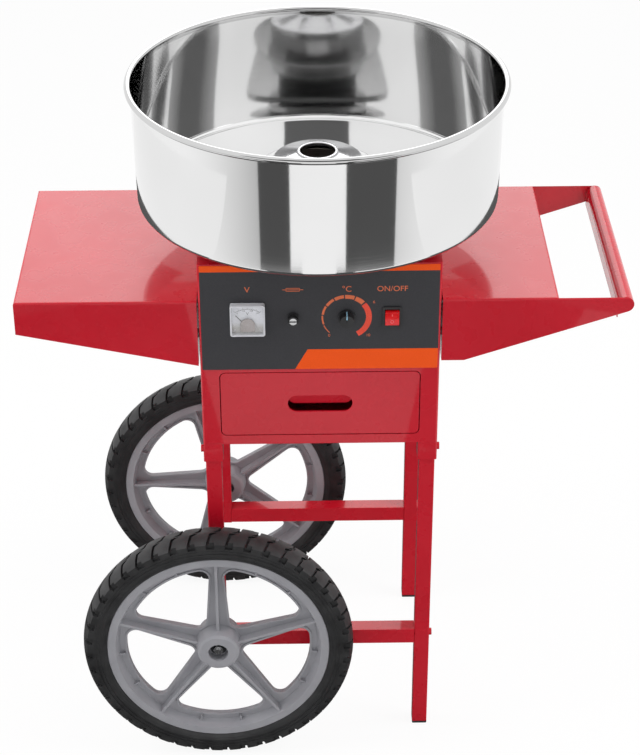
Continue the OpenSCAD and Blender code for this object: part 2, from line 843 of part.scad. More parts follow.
// Spun sheet bowl with a rolled rim
module bowl() {
    bead_r = bead_d / 2;
    floor_r = bowl_base_r - bowl_corner_r;
    bead_z = bowl_z + bowl_h - bead_r;
    bend_z = bowl_z + bowl_corner_r;
    color(steel) rotate_extrude($fn = 128) {
        translate([bowl_hole_d / 2, bowl_z]) square([floor_r - bowl_hole_d / 2, bowl_t]);
        intersection() {
            translate([floor_r, bend_z]) difference() {
                circle(bowl_corner_r);
                circle(bowl_corner_r - bowl_t);
            }
            translate([floor_r, bowl_z]) square([bowl_corner_r, bowl_corner_r]);
        }
        polygon([
            [bowl_base_r - bowl_t, bend_z], [bowl_base_r, bend_z],
            [bowl_wall_r, bead_z], [bowl_wall_r - bowl_t, bead_z]
        ]);
        translate([bowl_d / 2 - bead_r, bead_z]) circle(bead_r);
    }
}

// Dark cowl round the spindle, between the seat and the head
module head_cowl() {
    color(black) rotate_extrude() difference() {
        translate([0, bowl_z + spigot_h]) square([cowl_d / 2, cowl_top - bowl_z - spigot_h]);
        translate([0, bowl_z]) square([spindle_hole_d / 2, head_lift]);
    }
}

// Shaft from the slip rings through the motor to the head, with a collar under the head
module spindle() {
    color(steel) {
        translate([0, 0, slip_z - spindle_end])
            cylinder(d = spindle_d, h = head_z + spindle_top - slip_z + spindle_end);
        translate([0, 0, cowl_top - collar_l]) cylinder(d = collar_d, h = head_z - cowl_top + collar_l);
    }
}

// Pan of the head with its turned-up saucer
module head_base() {
    drum_r = drum_d / 2;
    color(steel) rotate_extrude() {
        translate([spindle_d / 2, head_z]) square([drum_r - spindle_d / 2, 2]);
        translate([drum_r - 2, head_z]) square([2, lower_drum_h + saucer_t]);
        polygon([
            [drum_r - 2, saucer_z], [drum_r + 6, saucer_z], [head_d / 2, saucer_z + saucer_rise],
            [head_d / 2, saucer_z + saucer_rise + saucer_t], [drum_r + 6, cover_z], [drum_r - 2, cover_z]
        ]);
    }
}

// Band heater standing on posts inside the head
module heater_ring() {
    band_r = drum_d / 2 - 8;
    band_t = 3;
    post_d = 2.4;
    post_z = head_z + 2;
    color(copper) {
        translate([0, 0, saucer_z]) rotate_extrude()
            translate([band_r - band_t, 0]) square([band_t, lower_drum_h]);
        for (i = [0:2]) rotate(120 * i) translate([band_r - band_t / 2, 0, post_z])
            cylinder(d = post_d, h = saucer_z - post_z + 4);
    }
}

// Drum and cone over the heater, with the sugar hole at the top
module head_cover() {
    drum_r = drum_d / 2;
    top_r = head_top_d / 2;
    hole_r = top_r - head_ring_w;
    lip = 3;
    color(steel) rotate_extrude() {
        translate([drum_r - head_t, cover_z]) square([head_t, upper_drum_h]);
        polygon([
            [drum_r - head_t, cone_z - head_t], [drum_r, cone_z - head_t], [drum_r, cone_z],
            [top_r, head_top - lip], [top_r, head_top], [hole_r, head_top], [hole_r, head_top - lip - head_t]
        ]);
    }
}

module head_nut() {
    color(steel) difference() {
        translate([0, 0, head_z + 2]) cylinder(d = 1.7 * spindle_d / cos(30), h = 8, $fn = 6);
        translate([0, 0, head_z]) cylinder(d = spindle_d, h = 20);
    }
}

// Insulating drum with two copper rings that feed the heater
module slip_rings() {
    color(copper) difference() {
        union() {
            translate([0, 0, slip_z]) cylinder(d = slip_d, h = slip_l);
            for (k = [0, 1]) translate([0, 0, slip_z + 3 + 9 * k]) cylinder(d = ring_d, h = ring_w);
        }
        translate([0, 0, slip_z - 1]) cylinder(d = spindle_d, h = slip_l + 2);
    }
}

// Motor with end bells and cooling slots in its lower bell
module motor() {
    bell_h = 14;
    slots = 8;
    color(dark) difference() {
        union() {
            translate([0, 0, motor_z + bell_h]) cylinder(d = motor_d - 4, h = motor_l - 2 * bell_h);
            translate([0, 0, motor_z]) cylinder(d = motor_d, h = bell_h);
            translate([0, 0, motor_top - bell_h]) cylinder(d = motor_d, h = bell_h);
        }
        translate([0, 0, motor_z - 1]) cylinder(d = spindle_d + 2 * shaft_gap, h = motor_l + 2);
        for (i = [0:slots - 1]) rotate(360 / slots * i + 22.5)
            translate([motor_d / 4, -3, motor_z - 1]) cube([motor_d / 4 - 6, 6, 5]);
    }
}

module motor_bracket() {
    color(steel) translate([0, 0, motor_top]) linear_extrude(bracket_t) difference() {
        round_rect(bracket_w, bracket_dy, 6);
        circle(d = spindle_hole_d);
    }
}

module motor_dampers() {
    color(rubber) for (sx = [-1, 1], sy = [-1, 1])
        translate([sx * damper_x, sy * damper_y, bracket_top]) cylinder(d = damper_d, h = damper_h);
}

// Post under the motor with two carbon brushes against the slip rings
module brush_holder() {
    brush_x = ring_d / 2 + run_gap;
    post_x = ring_d / 2 + 9;
    color(black) {
        translate([post_x, -6, slip_z]) cube([6, 12, motor_z - slip_z]);
        for (k = [0, 1]) translate([brush_x, -3, slip_z + 3 + 9 * k]) cube([post_x - brush_x, 6, ring_w]);
    }
}

// Leg frame

module square_tube(z, l) {
    translate([0, 0, z]) linear_extrude(l) difference() {
        round_rect(leg_w, leg_w, 2);
        round_rect(leg_w - 2 * tube_t, leg_w - 2 * tube_t, 0.5);
    }
}

// Sleeves under the base plate, flush with the cabinet's corners
module leg_sockets() {
    socket_in = leg_w + 2 * sheet_gap;
    color(red) difference() {
        for (sx = [-1, 1], sy = [-1, 1]) translate([sx * leg_x, sy * leg_y, cabinet_z - socket_h])
            linear_extrude(socket_h) difference() {
                round_rect(socket_w, socket_w, 2);
                square([socket_in, socket_in], center = true);
            }
        frame_bolt_bars(bolt_d);
    }
}

// Shanks of the bolts through the sockets and into the stretchers' ends
module frame_bolt_bars(d) {
    for (sy = [-1, 1], sx = [-1, 1]) mirror([sx < 0 ? 1 : 0, 0, 0]) {
        bar_x(leg_x - socket_w / 2, sy * leg_y, socket_bolt_z, d, socket_w);
        bar_x(leg_x - leg_w / 2 - end_plate_t, sy * leg_y, stretcher_bolt_z, d, leg_w + end_plate_t);
    }
}

module right_leg(sy) {
    color(red) difference() {
        translate([leg_x, sy * leg_y, 0]) square_tube(foot_h, cabinet_z - foot_h);
        frame_bolt_bars(bolt_d);
    }
}

module left_leg(sy) {
    color(red) difference() {
        translate([-leg_x, sy * leg_y, 0]) square_tube(left_leg_z, cabinet_z - left_leg_z);
        frame_bolt_bars(bolt_d);
        each_wheel() bar_y(-leg_x, axle_z, cabinet_d, axle_d, cabinet_d - leg_y);
    }
}

module front_left_leg() {
    left_leg(-1);
}

module rear_left_leg() {
    left_leg(1);
}

module front_right_leg() {
    right_leg(-1);
}

module rear_right_leg() {
    right_leg(1);
}

// Rectangular tube between a pair of legs, closed by tapped end plates
module stretcher(sy) {
    color(red) difference() {
        translate([0, sy * leg_y, stretcher_z + stretcher_h / 2])
            cube([stretcher_l, stretcher_d, stretcher_h], center = true);
        translate([0, sy * leg_y, stretcher_z + stretcher_h / 2])
            cube(
                [stretcher_l - 2 * end_plate_t, stretcher_d - 2 * tube_t, stretcher_h - 2 * tube_t],
                center = true
            );
        frame_bolt_bars(bolt_d);
    }
}

module front_stretcher() {
    stretcher(-1);
}

module rear_stretcher() {
    stretcher(1);
}

// Plastic caps plugged into the right legs
module foot_caps() {
    plug = leg_w - 2 * tube_t;
    color(black) for (sy = [-1, 1]) translate([leg_x, sy * leg_y, 0]) {
        linear_extrude(foot_h) round_rect(leg_w, leg_w, 2);
        translate([0, 0, foot_h]) linear_extrude(foot_plug_h) round_rect(plug, plug, 0.5);
    }
}

// Bolts painted over with the frame
module frame_bolts() {
    color(red) {
        frame_bolt_bars(bolt_d);
        for (sy = [-1, 1], sx = [-1, 1]) mirror([sx < 0 ? 1 : 0, 0, 0]) {
            bar_x(leg_x + socket_w / 2, sy * leg_y, socket_bolt_z, bolt_head_d, bolt_head_h);
            bar_x(leg_x + leg_w / 2, sy * leg_y, stretcher_bolt_z, bolt_head_d, bolt_head_h);
        }
    }
}

// Axles and wheels

// One copy for each wheel, mirrored front to back
module each_wheel() {
    for (sy = [-1, 1]) mirror([0, sy < 0 ? 1 : 0, 0]) children();
}

// Stub axles welded into the left legs, stepped down to threaded ends
module stub_axles() {
    stub_in = leg_y - leg_w / 2 + tube_t;
    color(steel) each_wheel() {
        bar_y(-leg_x, axle_z, washer_y, axle_d, washer_y - stub_in);
        bar_y(-leg_x, axle_z, axle_half, axle_end_d, axle_half - stub_in);
    }
}

// Distance tubes between the left legs and the wheel bushes
module axle_spacers() {
    spacer_l = hub_gap + hub_recess - side_gap;
    color(steel) each_wheel() difference() {
        bar_y(-leg_x, axle_z, leg_face_y + spacer_l, axle_d + 8, spacer_l);
        bar_y(-leg_x, axle_z, cabinet_d, axle_d, cabinet_d);
    }
}

module axle_washers() {
    color(black) each_wheel() difference() {
        bar_y(-leg_x, axle_z, washer_y + washer_t, washer_d, washer_t);
        bar_y(-leg_x, axle_z, cabinet_d, axle_end_d, cabinet_d);
    }
}

module axle_nuts() {
    color(steel) each_wheel() difference() {
        hex_y(-leg_x, axle_z, nut_y + nut_h, nut_af, nut_h);
        bar_y(-leg_x, axle_z, cabinet_d, axle_end_d, cabinet_d);
    }
}

// Outline of one window between two spokes, its middle on the X axis and its corners rounded by r
module wheel_window(r) {
    half = 180 / spokes;
    inner = (spoke_half_in + window_round) / sin(half);
    outer = window_r - window_round;
    side = half - asin((spoke_half_out + window_round) / outer);
    corner = outer * [cos(side), sin(side)];
    lean = atan2(corner[1], corner[0] - inner);
    polygon(concat(
        arc_points([inner, 0], r, 90 + lean, 270 - lean, 8),
        arc_points([corner[0], -corner[1]], r, -90 - lean, -side - 1, 8),
        arc_points([0, 0], outer + r, -side, side, 12),
        arc_points(corner, r, side + 1, 90 + lean, 8)
    ));
}

// One copy per spoke, turned to the middle of the gap after it
module each_window() {
    for (i = [0:spokes - 1]) rotate((i + 0.5) * 360 / spokes) children();
}

// Moulded wheel: web with rounded windows, raised window borders, ribbed spokes, rim and hub
module wheel_rim(turn) {
    border_half = web_half + border_h;
    lip_half = rim_w / 2;
    rib_half = lip_half - 3;
    tab_h = 5;
    tab_from = window_r + 4;
    tab_l = rim_r - lip_w - tab_from;
    color(wheel_grey) rotate(turn) difference() {
        union() {
            translate([0, 0, -web_half]) cylinder(r = rim_floor_r + 2, h = 2 * web_half);
            each_window() {
                translate([0, 0, -border_half]) linear_extrude(2 * border_half)
                    wheel_window(window_round + border_w);
                for (s = [-1, 1], t = [-1, 1]) rotate(s * gusset_turn)
                    translate([tab_from + tab_l / 2, 0, t * (web_half + tab_h / 2)])
                        cube([tab_l, gusset_t, tab_h + 1], center = true);
            }
            for (i = [0:spokes - 1]) rotate(i * 360 / spokes) rotate([90, 0, 0])
                translate([hub_r - 4, -rib_half, -rib_t / 2])
                    cube([rim_r - lip_w - hub_r + 4, 2 * rib_half, rib_t]);
            rotate_extrude($fn = 128) polygon([
                [rim_floor_r - 1, 1 - web_half], [rim_r - lip_w, -lip_half], [rim_r - 1, -lip_half],
                [rim_r, 1 - lip_half], [rim_r, lip_half - 1], [rim_r - 1, lip_half],
                [rim_r - lip_w, lip_half], [rim_floor_r - 1, web_half - 1]
            ]);
            rotate_extrude() polygon([
                [0, -hub_l / 2], [hub_r - 4, -hub_l / 2], [hub_r, 2.5 - hub_l / 2], [hub_r + 4, 1 - web_half],
                [hub_r + 4, web_half - 1], [hub_r, hub_l / 2 - 2.5], [hub_r - 4, hub_l / 2], [0, hub_l / 2]
            ]);
        }
        each_window() translate([0, 0, -hub_l / 2]) linear_extrude(hub_l) wheel_window(window_round);
        translate([0, 0, -hub_l]) cylinder(d = bush_d, h = 2 * hub_l);
        for (s = [-1, 1]) translate([0, 0, s * hub_l / 2])
            cylinder(d = hub_recess_d, h = 2 * hub_recess, center = true);
    }
}

// Tyre section: ribbed sidewalls under a rounded crown
module tyre_section() {
    side = tyre_w / 2 - side_rib_h;
    intersection() {
        polygon([
            [rim_r, -rim_w / 2], [rim_r + 4, 1.5 - side], [rim_r + 8, -side], [tyre_r, -side],
            [tyre_r, side], [rim_r + 8, side], [rim_r + 4, side - 1.5], [rim_r, rim_w / 2]
        ]);
        translate([tyre_r - crown_r, 0]) circle(crown_r);
    }
    for (r = side_rib_rs, s = [-1, 1]) translate([r, s * (side - 1 + tyre_w / 2) / 2])
        square([side_rib_w, tyre_w / 2 - side + 1], center = true);
}

// Bent groove from the middle of the tread to its shoulder, drawn in the plane that touches the crown
module tread_groove_outline() {
    half = tread_groove / 2;
    out = tyre_w / 2 + 3;
    polygon([
        [-0.6 - 2.2 * half, -0.3], [-0.6 + 2.2 * half, -0.3], [6 + half, 3 - half],
        [12 + half, out], [12 - half, out], [6 - half, 3 + half]
    ]);
}

// Tyre with bent grooves that follow its crown and end in square notches in its shoulders
module tyre_ring() {
    notch_h = notch_low + 2;
    color(rubber) difference() {
        rotate_extrude($fn = 128) tyre_section();
        for (i = [0:tread_n - 1], s = [-1, 1]) rotate(i * 360 / tread_n) {
            translate([tyre_r - tread_deep, 0, 0]) rotate([s < 0 ? 180 : 0, 0, 0])
                rotate([0, -tread_slope, 0]) rotate([90, 0, 90])
                    linear_extrude(tread_deep + 12) tread_groove_outline();
            translate([
                tyre_r - notch_low + notch_h / 2,
                s * (12 - notch_l / 2),
                s * (tyre_w / 2 - notch_in + 5)
            ])
                cube([notch_h, notch_l, 10], center = true);
        }
    }
}

// Plain flanged-in bushes in the two ends of the hub
module wheel_bushes() {
    color("white") for (s = [-1, 1])
        translate([0, 0, s * (hub_l / 2 - hub_recess - bush_l / 2)]) difference() {
        cylinder(d = bush_d, h = bush_l, center = true);
        cylinder(d = axle_d + 2 * shaft_gap, h = 2 * bush_l, center = true);
    }
}

// Stands a wheel part, drawn flat about Z, on the axle
module at_wheel(sy) {
    translate([-leg_x, sy * wheel_y, axle_z]) rotate([90, 0, 0]) children();
}

module front_rim() {
    at_wheel(-1) wheel_rim(front_turn);
}

module rear_rim() {
    at_wheel(1) wheel_rim(rear_turn);
}

module front_tyre() {
    at_wheel(-1) tyre_ring();
}

module rear_tyre() {
    at_wheel(1) tyre_ring();
}

module front_bushes() {
    at_wheel(-1) wheel_bushes();
}

module rear_bushes() {
    at_wheel(1) wheel_bushes();
}

// Trays

// End outline of a tray in Y and Z with its top edges bent round
module tray_end_outline(inset, depth) {
    w = cabinet_d - 2 * inset;
    r = bend_r - inset;
    top = tray_top - inset;
    translate([-w / 2, top - depth]) square([w, depth - r]);
    translate([r - w / 2, top - depth]) square([w - 2 * r, depth]);
    for (s = [-1, 1]) translate([s * (w / 2 - r), top - r]) circle(r);
}

// Side outline of the left tray in X and Z
module left_tray_outline(inset) {
    r = bend_r - inset;
    top = tray_top - inset;
    x_out = -left_end + inset;
    x_in = -tray_in - inset;
    difference() {
        polygon([
            [x_in, top], [x_out, top],
            [x_out, tray_top - end_skirt - inset], [x_in, tray_top - left_skirt - inset]
        ]);
        translate([x_out - r, top - r]) square(2 * r);
    }
    translate([x_out + r, top - r]) circle(r);
}

module tray_screw_bars(d, reach) {
    for (sx = [-1, 1], sy = [-1, 1], z = tray_screw_zs) mirror([sx < 0 ? 1 : 0, 0, 0])
        bar_x(
            inner_x - tray_screw_end, sy * tray_screw_y, z, d,
            tray_gap + 2 * sheet + tray_screw_end + reach
        );
}

module left_tray() {
    deep = left_skirt + 20;
    color(red) difference() {
        intersection() {
            slab(cabinet_d, 2 * cabinet_d) left_tray_outline(0);
            slab_x(-left_end - 1, left_end) tray_end_outline(0, deep);
        }
        intersection() {
            slab(cabinet_d, 2 * cabinet_d) left_tray_outline(sheet);
            slab_x(-left_end - 1, left_end) tray_end_outline(sheet, deep);
        }
        tray_screw_bars(tray_screw_d, 1);
    }
}

// Side cheek of the right tray: a tapered plate that ends in a round nose at the handle
module cheek_outline() {
    low = tray_top - right_skirt;
    heel = [tray_in + cheek_flat, low];
    nose = [handle_x, handle_z];
    slope = atan2(nose[1] - heel[1], nose[0] - heel[0]) - asin(handle_r / norm(nose - heel));
    touch = nose + handle_r * [sin(slope), -cos(slope)];
    polygon([[tray_in, tray_top], [tray_in, low], heel, touch, nose, [handle_x, tray_top]]);
    translate(nose) circle(handle_r);
}

// Flat top of the right tray with its inner flange and its hand-side lip
module right_tray_bridge() {
    r = bend_r;
    translate([tray_in, tray_top - sheet]) square([tray_right_l - r, sheet]);
    translate([tray_in, tray_top - right_skirt]) square([sheet, right_skirt]);
    translate([right_flat - sheet, tray_top - hand_lip]) square([sheet, hand_lip - r]);
    intersection() {
        translate([right_flat - r, tray_top - r]) difference() {
            circle(r);
            circle(r - sheet);
        }
        translate([right_flat - r, tray_top - r]) square(r);
    }
}

module right_tray() {
    reach = handle_x + handle_d;
    color(red) difference() {
        intersection() {
            union() {
                slab(back_y, sheet) cheek_outline();
                slab(front_y + sheet, sheet) cheek_outline();
                slab(back_y, cabinet_d) right_tray_bridge();
            }
            slab_x(0, reach) tray_end_outline(0, right_skirt + 20);
        }
        tray_screw_bars(tray_screw_d, 1);
    }
}

// Hand bar between the noses of the right tray's cheeks
module handle_tube() {
    bar_l = cabinet_d - 2 * sheet;
    color(red) difference() {
        bar_y(handle_x, handle_z, bar_l / 2, handle_d, bar_l);
        bar_y(handle_x, handle_z, bar_l, handle_d - 2 * tube_t, 2 * bar_l);
    }
}

// Screws with distance washers between the trays and the cabinet
module tray_screws() {
    color(steel) {
        tray_screw_bars(tray_screw_d, 0);
        for (sx = [-1, 1], sy = [-1, 1], z = tray_screw_zs) mirror([sx < 0 ? 1 : 0, 0, 0]) {
            bar_x(cabinet_w / 2, sy * tray_screw_y, z, 2.4 * tray_screw_d, tray_gap);
            bar_x(tray_in + sheet, sy * tray_screw_y, z, 1.8 * tray_screw_d, tray_screw_head);
        }
    }
}

// Moves a part from the bowl's axis to the part's own origin
module place() {
    translate([-origin_x, 0, 0]) children();
}

place() cabinet_shell();
place() back_cover();
place() top_deck();
place() base_plate();
place() drawer_shelf();
place() drawer_runners();
place() control_panel();
place() voltmeter_case();
place() voltmeter_dial();
place() voltmeter_window();
place() voltmeter_needle();
place() fuse_holder();
place() fuse_cap();
place() fuse_link();
place() potentiometer();
place() pot_shaft();
place() temperature_knob();
place() switch_housing();
place() rocker();
place() heat_controller();
place() cable_gland();
place() cover_screws();
place() drawer_box();
place() drawer_front();
place() bowl_seat();
place() bowl();
place() head_cowl();
place() spindle();
place() head_base();
place() heater_ring();
place() head_cover();
place() head_nut();
place() slip_rings();
place() motor();
place() motor_bracket();
place() motor_dampers();
place() brush_holder();
place() leg_sockets();
place() front_left_leg();
place() rear_left_leg();
place() front_right_leg();
place() rear_right_leg();
place() front_stretcher();
place() rear_stretcher();
place() foot_caps();
place() frame_bolts();
place() stub_axles();
place() axle_spacers();
place() axle_washers();
place() axle_nuts();
place() front_rim();
place() front_tyre();
place() front_bushes();
place() rear_rim();
place() rear_tyre();
place() rear_bushes();
place() left_tray();
place() right_tray();
place() handle_tube();
place() tray_screws();
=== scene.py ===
"""Looks of the cotton candy cart: its finishes, its turned, eased and printed pieces, and a plain studio."""

import json
import math

import bmesh
import bpy
from mathutils import Matrix, Vector


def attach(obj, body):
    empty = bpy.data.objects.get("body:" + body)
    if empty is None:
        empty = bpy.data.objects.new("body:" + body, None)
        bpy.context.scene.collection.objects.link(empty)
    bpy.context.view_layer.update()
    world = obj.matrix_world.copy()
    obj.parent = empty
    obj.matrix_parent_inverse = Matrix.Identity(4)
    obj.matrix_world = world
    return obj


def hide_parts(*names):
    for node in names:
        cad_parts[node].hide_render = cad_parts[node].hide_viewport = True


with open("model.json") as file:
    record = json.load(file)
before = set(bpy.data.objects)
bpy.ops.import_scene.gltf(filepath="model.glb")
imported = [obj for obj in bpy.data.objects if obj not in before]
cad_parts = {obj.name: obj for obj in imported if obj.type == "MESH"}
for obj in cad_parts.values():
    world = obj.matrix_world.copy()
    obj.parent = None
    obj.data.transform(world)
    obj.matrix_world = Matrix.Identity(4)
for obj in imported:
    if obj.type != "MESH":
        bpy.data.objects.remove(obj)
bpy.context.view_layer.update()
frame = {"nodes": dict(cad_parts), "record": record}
nodes = frame["nodes"]
body_of = {n: body for body, members in frame["record"]["behaviour"]["bodies"].items() for n in members}
slots_of = {n: [holder.material.name for holder in solid.material_slots] for n, solid in nodes.items()}
for plain in list(bpy.data.materials):
    bpy.data.materials.remove(plain)

# Places and sizes on the cart, in metres
BOWL_X = -0.006
BOWL_TOP_R, BOWL_BASE_R, BOWL_HOLE_R, BOWL_GAUGE = 0.2525, 0.249, 0.089, 0.0012
BOWL_FLOOR_Z, BEAD_FOOT_Z, BEAD_Z = 0.8195, 0.9825, 0.9875
CONE_FOOT_Z = 0.871
PANEL_Y = -0.1708
STRIPE_Z, FIELD_Z = 0.787, 0.667
CONTROL_Z = 0.717
METER_X, FUSE_X, KNOB_X, SWITCH_X = -0.103, -0.042, 0.030, 0.091
METER_PIVOT_Z = 0.705
CARD_Y = -0.1738
KNOB_FACE_Y, KNOB_SKIRT_Y = -0.1858, -0.1748
FUSE_FACE_Y = -0.1826
ROCKER_Y, ROCKER_REACH = -0.1688, 0.0064
LABEL_Z = 0.7595
PRINT = 0.00008

# Heights that bump gives the inside of the bowl's wall: factors of a power series in the height above its floor
WALL_BELLY = (-37.2206, 12.6044, -0.7496, -0.0862, 0.0)


# Finishes

class Finish:
    """A finish of one surface shader, patterned in the cart's own coordinates."""

    def __init__(self, name, metallic=0.0, **sockets):
        self.material = bpy.data.materials.new(name)
        self.material.use_nodes = True
        self.tree = self.material.node_tree
        self.shader = self.tree.nodes["Principled BSDF"]
        self.place = self.add("ShaderNodeTexCoord").outputs["Object"]
        self.shader.inputs["Metallic"].default_value = metallic
        for socket, value in sockets.items():
            self.shader.inputs[socket.replace("_", " ").title().replace("Ior", "IOR")].default_value = value

    def add(self, kind, inputs=None, **settings):
        made = self.tree.nodes.new(kind)
        for key, value in settings.items():
            setattr(made, key, value)
        for key, value in (inputs or {}).items():
            if isinstance(value, bpy.types.NodeSocket):
                self.tree.links.new(value, made.inputs[key])
            else:
                made.inputs[key].default_value = value
        return made

    def math(self, operation, first, second=0.0, third=0.0):
        return self.add("ShaderNodeMath", {0: first, 1: second, 2: third}, operation=operation).outputs[0]

    def xyz(self):
        return self.add("ShaderNodeSeparateXYZ", {0: self.place}).outputs

    def mapped(self, scale=(1, 1, 1), location=(0, 0, 0)):
        settings = {"Vector": self.place, "Location": location, "Scale": scale}
        return self.add("ShaderNodeMapping", settings).outputs[0]

    def about_axis(self):
        """Distance from the bowl's axis, and height."""
        x, y, z = self.add("ShaderNodeSeparateXYZ", {0: self.mapped(location=(-BOWL_X, 0, 0))}).outputs
        square = self.math("ADD", self.math("MULTIPLY", x, x), self.math("MULTIPLY", y, y))
        return self.math("SQRT", square), z

    def noise(self, scale, detail=3.0, where=None):
        settings = {"Vector": where or self.place, "Scale": scale, "Detail": detail}
        return self.add("ShaderNodeTexNoise", settings).outputs["Fac"]

    def rings(self, scale):
        """Fine noise that runs round the bowl's axis, as turning and polishing leave it."""
        radius, z = self.about_axis()
        line = self.add("ShaderNodeCombineXYZ", {0: radius, 1: 0.0, 2: z}).outputs[0]
        return self.noise(scale, 2.0, where=line)

    def spread(self, value, low, high, start=0.3, end=0.7):
        settings = {"Value": value, "From Min": start, "From Max": end, "To Min": low, "To Max": high}
        return self.add("ShaderNodeMapRange", settings).outputs[0]

    def mix(self, share, first, second):
        made = self.add("ShaderNodeMix", data_type="RGBA")
        for socket, value in ((made.inputs[0], share), (made.inputs[6], first), (made.inputs[7], second)):
            if isinstance(value, bpy.types.NodeSocket):
                self.tree.links.new(value, socket)
            else:
                socket.default_value = (*value, 1.0)
        return made.outputs[2]

    def colour(self, value):
        self.tree.links.new(value, self.shader.inputs["Base Color"])

    def tones(self, dark, light, share):
        self.colour(self.mix(self.spread(share, 0.0, 1.0), dark, light))

    def gloss(self, low, high, share):
        self.tree.links.new(self.spread(share, low, high), self.shader.inputs["Roughness"])

    def relief(self, height, distance, strength=1.0):
        bump = self.add("ShaderNodeBump", {"Height": height, "Distance": distance, "Strength": strength})
        self.tree.links.new(bump.outputs[0], self.shader.inputs["Normal"])


def red_paint():
    paint = Finish("red_paint", coat_weight=0.6, coat_roughness=0.03, ior=1.5, specular_ior_level=0.2)
    paint.tones((0.50, 0.005, 0.017), (0.55, 0.008, 0.022), paint.noise(6.0, 4.0))
    paint.gloss(0.24, 0.32, paint.noise(30.0, 3.0))
    paint.relief(paint.noise(260.0, 1.0), 0.00001, 0.12)
    return paint.material


def zinc_sheet():
    zinc = Finish("zinc_sheet", metallic=1.0)
    spangle = zinc.add("ShaderNodeTexVoronoi", {"Vector": zinc.place, "Scale": 70.0}).outputs["Color"]
    grey = zinc.add("ShaderNodeRGBToBW", {0: spangle}).outputs[0]
    zinc.tones((0.52, 0.53, 0.54), (0.70, 0.71, 0.72), grey)
    zinc.gloss(0.28, 0.46, grey)
    return zinc.material


def panel_film():
    """Dark satin film with its printed stripe along the top and its slanted field in the lower corner."""
    film = Finish("panel_film", ior=1.45, specular_ior_level=0.25)
    x, _, z = film.xyz()
    lean, foot = 0.5536, -0.3920
    stripe = film.math("GREATER_THAN", z, STRIPE_Z)
    low = film.math("LESS_THAN", z, FIELD_Z)
    slant = film.math("MULTIPLY_ADD", z, lean, foot)
    field = film.math("MULTIPLY", low, film.math("GREATER_THAN", x, slant))
    grain = film.noise(900.0, 2.0)
    share = film.spread(grain, 0.0, 1.0)
    dark = film.mix(share, (0.039, 0.039, 0.043), (0.049, 0.049, 0.054))
    orange = film.mix(share, (0.83, 0.078, 0.001), (0.89, 0.090, 0.002))
    film.colour(film.mix(film.math("MAXIMUM", stripe, field), dark, orange))
    film.gloss(0.42, 0.52, film.noise(40.0, 2.0))
    film.relief(grain, 0.00003, 0.4)
    return film.material


def polished_stainless():
    """Mirror-polished sheet, with painted light making the inside of the bowl a little lighter and painted
    shade making the bead darker; inside the bowl, bump makes its wall belly out a little.
    """
    steel = Finish("polished_stainless", metallic=1.0)
    rings = steel.rings(900.0)
    radius, z = steel.about_axis()
    lean = (BOWL_TOP_R - BOWL_BASE_R) / (BEAD_Z - BOWL_FLOOR_Z)
    foot = BOWL_BASE_R - BOWL_GAUGE / 2 - lean * BOWL_FLOOR_Z
    inside = steel.math("LESS_THAN", radius, steel.math("MULTIPLY_ADD", z, lean, foot))
    cloud = steel.spread(steel.noise(5.0, 2.0), 0.0, 1.0)
    # Painted light and shade: the inside tone is a little lighter than the outside, and the bead's tone is
    # darker
    outer = steel.mix(cloud, (0.82, 0.82, 0.82), (0.87, 0.87, 0.87))
    inner = steel.mix(cloud, (0.85, 0.85, 0.85), (0.90, 0.90, 0.90))
    bead = steel.math("GREATER_THAN", z, BEAD_FOOT_Z)
    steel.colour(steel.mix(bead, steel.mix(inside, outer, inner), (0.66, 0.66, 0.66)))
    steel.gloss(0.045, 0.085, rings)
    up = steel.math("SUBTRACT", z, BOWL_FLOOR_Z)
    belly = WALL_BELLY[0]
    for factor in WALL_BELLY[1:]:
        belly = steel.math("MULTIPLY_ADD", belly, up, factor)
    polish = steel.math("MULTIPLY", rings, 0.0000014)
    steel.relief(steel.math("MULTIPLY_ADD", belly, inside, polish), 1.0)
    return steel.material


def spun_aluminium():
    """Turned alloy, bright on the cone, with painted shade darkening the drum and saucer below it in place of
    the dark surroundings they mirror.
    """
    alloy = Finish("spun_aluminium", metallic=1.0)
    rings = alloy.rings(1400.0)
    share = alloy.spread(rings, 0.0, 1.0)
    bright = alloy.mix(share, (0.66, 0.66, 0.67), (0.74, 0.74, 0.75))
    # Painted shade: a darker tone below the cone's foot
    shaded_below = alloy.mix(share, (0.32, 0.32, 0.32), (0.40, 0.40, 0.40))
    below = alloy.math("LESS_THAN", alloy.xyz()[2], CONE_FOOT_Z - 0.0005)
    alloy.colour(alloy.mix(below, bright, shaded_below))
    alloy.gloss(0.10, 0.18, rings)
    alloy.relief(rings, 0.00001, 0.4)
    return alloy.material


def bright_steel():
    steel = Finish("bright_steel", metallic=1.0)
    worn = steel.noise(160.0, 4.0)
    steel.tones((0.58, 0.58, 0.59), (0.74, 0.74, 0.75), worn)
    steel.gloss(0.16, 0.34, worn)
    return steel.material


def moulded(name, dark, light, low, high, scale=1600.0):
    """Moulded plastic or rubber: two close tones, a patchy gloss and a fine grain."""
    made = Finish(name)
    made.tones(dark, light, made.noise(22.0, 4.0))
    made.gloss(low, high, made.noise(60.0, 3.0))
    made.relief(made.noise(scale, 2.0), 0.00004, 0.5)
    return made.material


def meter_body():
    """Meter case: pale ahead of the panel, black behind it."""
    case = Finish("meter_body", coat_weight=0.4, coat_roughness=0.08)
    behind = case.math("GREATER_THAN", case.xyz()[1], PANEL_Y - 0.0008)
    cloud = case.spread(case.noise(90.0, 3.0), 0.0, 1.0)
    pale = case.mix(cloud, (0.56, 0.565, 0.60), (0.64, 0.645, 0.68))
    case.colour(case.mix(behind, pale, (0.022, 0.022, 0.024)))
    case.gloss(0.18, 0.30, case.noise(60.0, 2.0))
    return case.material


